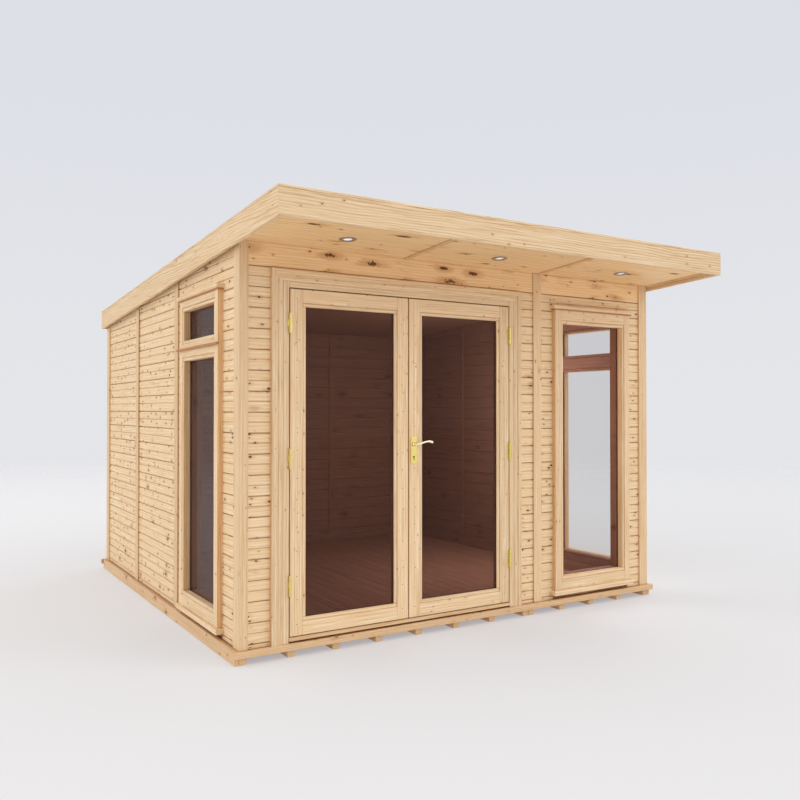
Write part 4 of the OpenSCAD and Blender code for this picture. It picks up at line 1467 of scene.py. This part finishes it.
class POD_OT_ironmongery(bpy.types.Operator):
    """Hinge caps and screws, lock plates with keyholes, and curved levers"""

    bl_idname = "pod.ironmongery"
    bl_label = "Ironmongery"

    def execute(self, context):
        self.hinges()
        self.lock_plates()
        self.levers()
        return {"FINISHED"}

    def hinges(self):
        """Rounded caps on the knuckles and screws through the plates."""
        dress("frame_hinges", "brass")
        for body in ("left_door", "right_door"):
            node = f"{body}_hinges"
            dress(node, "brass")
            lowest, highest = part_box(node)
            knuckle_r = 0.0065
            plate_t, screw_in, screw_out = 0.0024, 0.014, 0.0105
            side = 1 if body == "left_door" else -1
            axis_x = lowest.x + knuckle_r if side > 0 else highest.x - knuckle_r
            axis_y = lowest.y + knuckle_r
            shape = bmesh.new()
            screws = []
            for z0, z1 in self.spans(node):
                for end, up in ((z1, 1), (z0, -1)):
                    dome = [(knuckle_r, 0.0), (knuckle_r * 0.92, 0.0015 * up),
                            (knuckle_r * 0.7, 0.0034 * up), (knuckle_r * 0.35, 0.0046 * up),
                            (0.0, 0.005 * up)]
                    lathe(shape, [(0.0, -0.001 * up)] + dome,
                          Matrix.Translation((axis_x, axis_y, end)), False, 20)
                x = axis_x + side * screw_out
                y = low(body).y - plate_t
                screws += [(x, y, z) for z in (z0 + screw_in, (z0 + z1) / 2, z1 - screw_in)]
            name = f"{body}_hinge_caps"
            make_piece(name, plain_mesh(name, shape, smooth=True), "brass", body, slot="brass")
            studs(f"{body}_hinge_screws", screws, (0, -1, 0), 0.0026, 0.0009, "brass", body, "brass")

    def spans(self, node):
        """Lowest and highest z of each hinge of a node, from the lowest up."""
        boxes = sorted(boxes_of(node), key=lambda b: b[0].z)
        merged = []
        for a, b in boxes:
            if merged and a.z < merged[-1][1] + 0.06:
                merged[-1][1] = max(merged[-1][1], b.z)
            else:
                merged.append([a.z, b.z])
        return merged

    def lock_plates(self):
        """Rounded plates with a keyhole and screws, one on each face of the leaf, with a near-black disc
        behind each keyhole as painted shade.
        """
        lowest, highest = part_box("lock_plates")
        leaf_low, leaf_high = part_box("right_door")
        lever = self.lever_place()
        middle = (lowest.x + highest.x) / 2
        key_drop, key_r, slot_w, slot_h = 0.072, 0.0058, 0.0052, 0.020
        spindle_hole_r, through = 0.0094, 0.03
        corner_r, edge_r = 0.004, 0.0012
        shade_disc_r, shade_disc_t, shade_disc_out, shade_disc_drop = 0.016, 0.001, 0.0007, 0.007
        key_z = lever.z - key_drop
        plates = bmesh.new()
        shade_disc_mesh = bmesh.new()
        for y0, y1, out in ((lowest.y, leaf_low.y, -1), (leaf_high.y, highest.y, 1)):
            middle_y = (y0 + y1) / 2
            plate = bmesh.new()
            add_box(plate, (middle, middle_y, (lowest.z + highest.z) / 2),
                    (highest.x - lowest.x, y1 - y0, highest.z - lowest.z))
            corners = [e for e in plate.edges if abs(e.verts[0].co.y - e.verts[1].co.y) > 1e-4]
            bmesh.ops.bevel(plate, geom=corners, offset=corner_r, segments=4, affect="EDGES")
            front = [e for e in plate.edges
                     if all(abs(v.co.y - (y0 if out < 0 else y1)) < 1e-5 for v in e.verts)]
            bmesh.ops.bevel(plate, geom=front, offset=edge_r, segments=2, affect="EDGES")
            cutters = bmesh.new()
            turn = Matrix.Rotation(math.pi / 2, 4, "X")
            for x, z, radius in ((middle, key_z, key_r), (lever.x, lever.z, spindle_hole_r)):
                bmesh.ops.create_cone(
                    cutters, cap_ends=True, segments=28, radius1=radius, radius2=radius,
                    depth=through, matrix=Matrix.Translation((x, middle_y, z)) @ turn)
            add_box(cutters, (middle, middle_y, key_z - slot_h / 2), (slot_w, through, slot_h))
            self.cut(plate, cutters, plates)
            # a near-black disc behind the keyhole: painted shade for the depth of the hole
            edge = leaf_low.y if out < 0 else leaf_high.y
            place = (middle, edge + out * shade_disc_out, key_z - shade_disc_drop)
            bmesh.ops.create_cone(
                shade_disc_mesh, cap_ends=True, segments=24, radius1=shade_disc_r, radius2=shade_disc_r,
                depth=shade_disc_t, matrix=Matrix.Translation(place) @ turn)
        make_piece("lock_plate_pair", plain_mesh("lock_plate_pair", plates), "brass", "right_door",
                   ("lock_plates",), "brass")
        make_piece("keyhole_shade_discs", plain_mesh("keyhole_shade_discs", shade_disc_mesh), "keyway", "right_door", slot="brass")
        heads = [(middle, lowest.y, z) for z in (highest.z - 0.010, lowest.z + 0.012, key_z + 0.030)]
        studs("lock_plate_screws", heads, (0, -1, 0), 0.0034, 0.0011, "brass", "right_door", "brass")

    def cut(self, plate, cutters, target):
        """Takes the cutters out of a plate and adds it to the target."""
        objects = []
        for shape in (plate, cutters):
            made = bpy.data.objects.new("part", plain_mesh("part", shape))
            bpy.context.scene.collection.objects.link(made)
            objects.append(made)
        modifier = objects[0].modifiers.new("cut", "BOOLEAN")
        modifier.operation = "DIFFERENCE"
        modifier.solver = "EXACT"
        modifier.use_self = True
        modifier.object = objects[1]
        bpy.context.view_layer.update()
        shown = objects[0].evaluated_get(bpy.context.evaluated_depsgraph_get())
        target.from_mesh(bpy.data.meshes.new_from_object(shown))
        for made in objects:
            bpy.data.objects.remove(made)

    def lever_place(self):
        """The axis of the lever's spindle."""
        joint = next(j for j in frame["joints"] if j["child"] == "door_handle")
        return Vector(joint["pos_m"])

    def levers(self):
        """A curved lever on each side, with a round rose and neck, on one spindle."""
        lowest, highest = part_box("door_levers")
        axis = self.lever_place()
        leaf_low, leaf_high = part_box("right_door")
        length = highest.x - axis.x
        shape = bmesh.new()
        clear, grip_r, steps = 0.0004, 0.0055, 28
        root_shares = (0.0, 0.17, 0.20, 0.34, 0.40, 0.62)
        root_radii = (0.0085, 0.0085, 0.0120, 0.0115, 0.0088, 0.0070)
        straight, lift, droop = 0.72, 0.017, 0.008
        bar_r, waist, spindle_r = 0.0062, 0.0012, 0.0045
        for root_y, grip_y in ((leaf_low.y - clear, lowest.y + grip_r),
                               (leaf_high.y + clear, highest.y - grip_r)):
            path = [Vector((axis.x, root_y + (grip_y - root_y) * t, axis.z))
                    for t in root_shares]
            radii = [(r, r) for r in root_radii]
            for i in range(steps + 1):
                t = i / steps
                bend = 1 - math.exp(-9 * t)
                y = root_y + (grip_y - root_y) * (straight + (1 - straight) * bend)
                rise = lift * (0.5 - 0.5 * math.cos(math.pi * min(t / 0.8, 1.0))) - droop * t ** 7
                path.append(Vector((axis.x + length * t * 0.985, y, axis.z + rise)))
                thin = bar_r - waist * math.sin(math.pi * t)
                radii.append((thin * 0.85, thin * (1.0 + 0.25 * t)))
            path.append(path[-1] + Vector((0.0012, 0, -0.0006)))
            radii.append((radii[-1][0] * 0.6, radii[-1][1] * 0.6))
            sweep(shape, path, radii)
        spindle = [Vector((axis.x, y, axis.z)) for y in (leaf_low.y, leaf_high.y)]
        sweep(shape, spindle, [(spindle_r, spindle_r)] * 2, 12)
        make_piece("lever_pair", plain_mesh("lever_pair", shape, smooth=True), "lever_brass",
                   "door_handle", ("door_levers",), "brass")


TRIM_NAIL_R, LEAF_NAIL_R, NAIL_H = 0.0022, 0.0026, 0.0005


class POD_OT_nails(bpy.types.Operator):
    """Nail heads in the cover strips, architrave and door stiles"""

    bl_idname = "pod.nails"
    bl_label = "Nails"

    def execute(self, context):
        strip = strip_boxes("front")[0]
        arch_low, arch_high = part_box("door_architrave")
        inset = 0.018
        front = []
        for x, y in (((strip[0].x + strip[1].x) / 2, FRONT_Y),
                     (arch_low.x + inset, arch_low.y), (arch_high.x - inset, arch_low.y)):
            front += self.column(x, y, arch_high.z - 0.05)
        self.heads("nails_front", front, (0, -1, 0))
        self.leaf_nails(context.scene.pod_sizes.seed)
        for side, x, facing in (("left", LEFT_X, (-1, 0, 0)), ("right", RIGHT_X, (1, 0, 0))):
            places = []
            for lowest, highest in strip_boxes(side):
                middle = (lowest.y + highest.y) / 2
                places += self.column(x, middle, soffit_under(middle) - 0.1)
            self.heads(f"nails_{side}", places, facing)
        return {"FINISHED"}

    def column(self, x, y, top):
        """Evenly spaced places up a board."""
        places = []
        foot, spacing = 0.12, 0.3
        z = FLOOR_Z + foot
        while z < top:
            places.append((x, y, z))
            z += spacing
        return places

    def heads(self, name, places, facing):
        """Nail heads of the trim."""
        studs(name, places, facing, TRIM_NAIL_R, NAIL_H, "nail_rust", slot="trim_timber")

    def leaf_nails(self, seed):
        """Rows of nails down the stiles of both leaves."""
        chance = random.Random(seed)
        inset, margin, clear_of_lock = 0.42, 0.06, 0.1
        for body in ("left_door", "right_door"):
            lowest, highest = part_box(body)
            stile = low(f"{body}_glass").x - lowest.x
            places = []
            for x in (lowest.x + stile * inset, highest.x - stile * inset):
                z = lowest.z + margin
                while z < highest.z - 0.05:
                    if body == "left_door" or abs(z - self.lock_z()) > clear_of_lock or x > 0:
                        places.append((x + chance.uniform(-0.003, 0.003), lowest.y, z))
                    z += chance.uniform(0.09, 0.16)
            studs(f"nails_{body}", places, (0, -1, 0), LEAF_NAIL_R, NAIL_H, "nail_rust", body, "joinery")

    def lock_z(self):
        """The middle height of the lock plate."""
        return (low("lock_plates").z + high("lock_plates").z) / 2


# ---- Stage ----


# name, direction, strength, angle in degrees and colour of each sun
SUNS = (("front_key", (-0.45, 0.85, -0.62), 0.91, 70, (1.0, 0.99, 0.97)),
        ("side_key", (0.92, -0.25, -0.50), 1.15, 70, (1.0, 0.99, 0.97)),
        ("back_fill", (-0.3, -0.9, -0.6), 0.45, 90, (1.0, 1.0, 1.0)),
        ("right_fill", (-0.95, 0.1, -0.5), 0.95, 80, (1.0, 0.99, 0.99)))
SKY_STRENGTH = 0.62
BACKDROP = (0.780, 0.785, 0.815), (0.725, 0.745, 0.800)
FLOOR_RADIUS = 26.0
# left and right side of the floor: its own colour, and its glow as the camera sees it
FLOOR_COLORS = (0.455, 0.450, 0.455), (0.405, 0.405, 0.415)
FLOOR_GLOW = (0.705, 0.705, 0.725), (0.650, 0.655, 0.680)
GLOW_ON_OBJECT = (0.84, 0.84, 0.85)
VIEWER_PLACE = (-2.9816, -5.1454, 1.2965)
VIEWER_YAW, VIEWER_PITCH = 31.95, 0.665
VIEWER_LENS = 36.50


def fading_floor(name, clear, reach):
    """A pale floor with a soft glow of its own that fades out with distance from the middle."""
    material, add, shader = new_material(name)
    place = add.node("ShaderNodeTexCoord").outputs["Object"]
    away = add.vector("LENGTH", add.vector("MULTIPLY", place, (1.0, 1.0, 0.0)))
    split = add.node("ShaderNodeSeparateXYZ")
    add.feed(split.inputs[0], place)
    side = add.math("ADD", add.steps(split.outputs[0], -5.0, 7.0),
                    add.math("MULTIPLY", add.noise(place, 0.6, 2.0), 0.1))
    add.feed(shader.inputs["Base Color"], add.mix(side, *FLOOR_COLORS))
    add.feed(shader.inputs["Alpha"], add.steps(away, clear, reach, 1.0, 0.0))
    path = add.node("ShaderNodeLightPath")
    glow = add.mix(path.outputs["Is Camera Ray"], GLOW_ON_OBJECT, add.mix(side, *FLOOR_GLOW))
    add.feed(shader.inputs["Emission Color"], glow)
    shader.inputs["Emission Strength"].default_value = 0.5
    shader.inputs["Roughness"].default_value = 0.9
    shader.inputs["Specular IOR Level"].default_value = 0.1
    return material


def add_sun(name, towards, strength, angle, color):
    """A sun that shines along a direction, with soft shadows from a wide angle."""
    data = bpy.data.lights.new(name, "SUN")
    data.energy = strength
    data.angle = math.radians(angle)
    data.color = color
    sun = bpy.data.objects.new(name, data)
    sun.rotation_euler = Vector(towards).to_track_quat("-Z", "Y").to_euler()
    bpy.context.scene.collection.objects.link(sun)


class POD_OT_stage(bpy.types.Operator):
    """Camera, soft light and a pale floor"""

    bl_idname = "pod.stage"
    bl_label = "Stage"

    def execute(self, context):
        scene = context.scene
        scene.view_settings.view_transform = "Standard"
        self.floor(scene)
        self.world(scene)
        for sun in SUNS:
            add_sun(*sun)
        self.room_light()
        self.camera(scene)
        return {"FINISHED"}

    def floor(self, scene):
        """A wide pale disc that fades into the backdrop."""
        shape = bmesh.new()
        bmesh.ops.create_circle(shape, cap_ends=True, segments=96, radius=FLOOR_RADIUS)
        mesh = bpy.data.meshes.new("studio_floor")
        shape.to_mesh(mesh)
        shape.free()
        mesh.materials.append(fading_floor("studio_floor", clear=5.0, reach=19.0))
        floor = bpy.data.objects.new("studio_floor", mesh)
        scene.collection.objects.link(floor)

    def world(self, scene):
        """Even light, with a backdrop of its own for the camera that darkens a little upwards."""
        world = bpy.data.worlds.new("studio")
        world.use_nodes = True
        scene.world = world
        sky = world.node_tree.nodes["Background"]
        add = Shading(world.node_tree)
        path = add.node("ShaderNodeLightPath")
        split = add.node("ShaderNodeSeparateXYZ")
        add.feed(split.inputs[0], add.node("ShaderNodeTexCoord").outputs["Generated"])
        backdrop = add.mix(add.steps(split.outputs[2], 0.0, 0.42), *BACKDROP)
        shown = add.mix(path.outputs["Is Camera Ray"], (1.0, 1.0, 1.0), backdrop)
        add.feed(sky.inputs["Color"], shown)
        add.feed(sky.inputs["Strength"], add.steps(path.outputs["Is Camera Ray"], 0.0, 1.0,
                                                   SKY_STRENGTH, 1.0))

    def room_light(self):
        """Soft light inside the room, so that it isn't black behind its glass."""
        data = bpy.data.lights.new("room_light", "POINT")
        data.shadow_soft_size = 0.5
        data.energy = 42.0
        light = bpy.data.objects.new("room_light", data)
        middle_y = (INNER_FRONT + INNER_BACK) / 2
        from_wall, forward, height = 0.65, 0.6, 1.25
        light.location = (INNER_RIGHT - from_wall, middle_y - forward, height)
        light.visible_camera = False
        light.visible_glossy = False
        bpy.context.scene.collection.objects.link(light)

    def camera(self, scene):
        """The camera at the standing viewer's place in front of the left corner."""
        data = bpy.data.cameras.new("viewer")
        data.sensor_width = 36.0
        data.lens = VIEWER_LENS
        data.clip_end = 200.0
        camera = bpy.data.objects.new("viewer", data)
        camera.location = VIEWER_PLACE
        yaw, pitch = math.radians(VIEWER_YAW), math.radians(VIEWER_PITCH)
        camera.rotation_euler = (math.pi / 2 + pitch, 0.0, -yaw)
        scene.collection.objects.link(camera)
        scene.camera = camera


class POD_PT_panel(bpy.types.Panel):
    """Lists the steps that build the pod"""

    bl_label = "Garden Pod"
    bl_idname = "POD_PT_panel"
    bl_space_type = "VIEW_3D"
    bl_region_type = "UI"
    bl_category = "Garden Pod"

    def draw(self, context):
        for settings in (context.scene.pod_sizes, context.scene.pod_finishes):
            for key in settings.__annotations__:
                self.layout.prop(settings, key)
        for step in STEPS:
            self.layout.operator(step.bl_idname)


STEPS = (POD_OT_stage, POD_OT_base, POD_OT_cladding, POD_OT_lining, POD_OT_trim, POD_OT_roof,
         POD_OT_downlights, POD_OT_windows, POD_OT_doorway, POD_OT_doors, POD_OT_ironmongery,
         POD_OT_nails)
CLASSES = (PodSizes, PodFinishes, *STEPS, POD_PT_panel)


def register():
    """Registers the classes and the settings."""
    for kind in CLASSES:
        bpy.utils.register_class(kind)
    bpy.types.Scene.pod_sizes = bpy.props.PointerProperty(type=PodSizes)
    bpy.types.Scene.pod_finishes = bpy.props.PointerProperty(type=PodFinishes)


def unregister():
    """Takes the settings and the classes away again."""
    del bpy.types.Scene.pod_finishes
    del bpy.types.Scene.pod_sizes
    for kind in reversed(CLASSES):
        bpy.utils.unregister_class(kind)


def main():
    """Builds the pod step by step."""
    register()
    for step in STEPS:
        area, name = step.bl_idname.split(".")
        getattr(getattr(bpy.ops, area), name)()


if __name__ == "__main__":
    main()
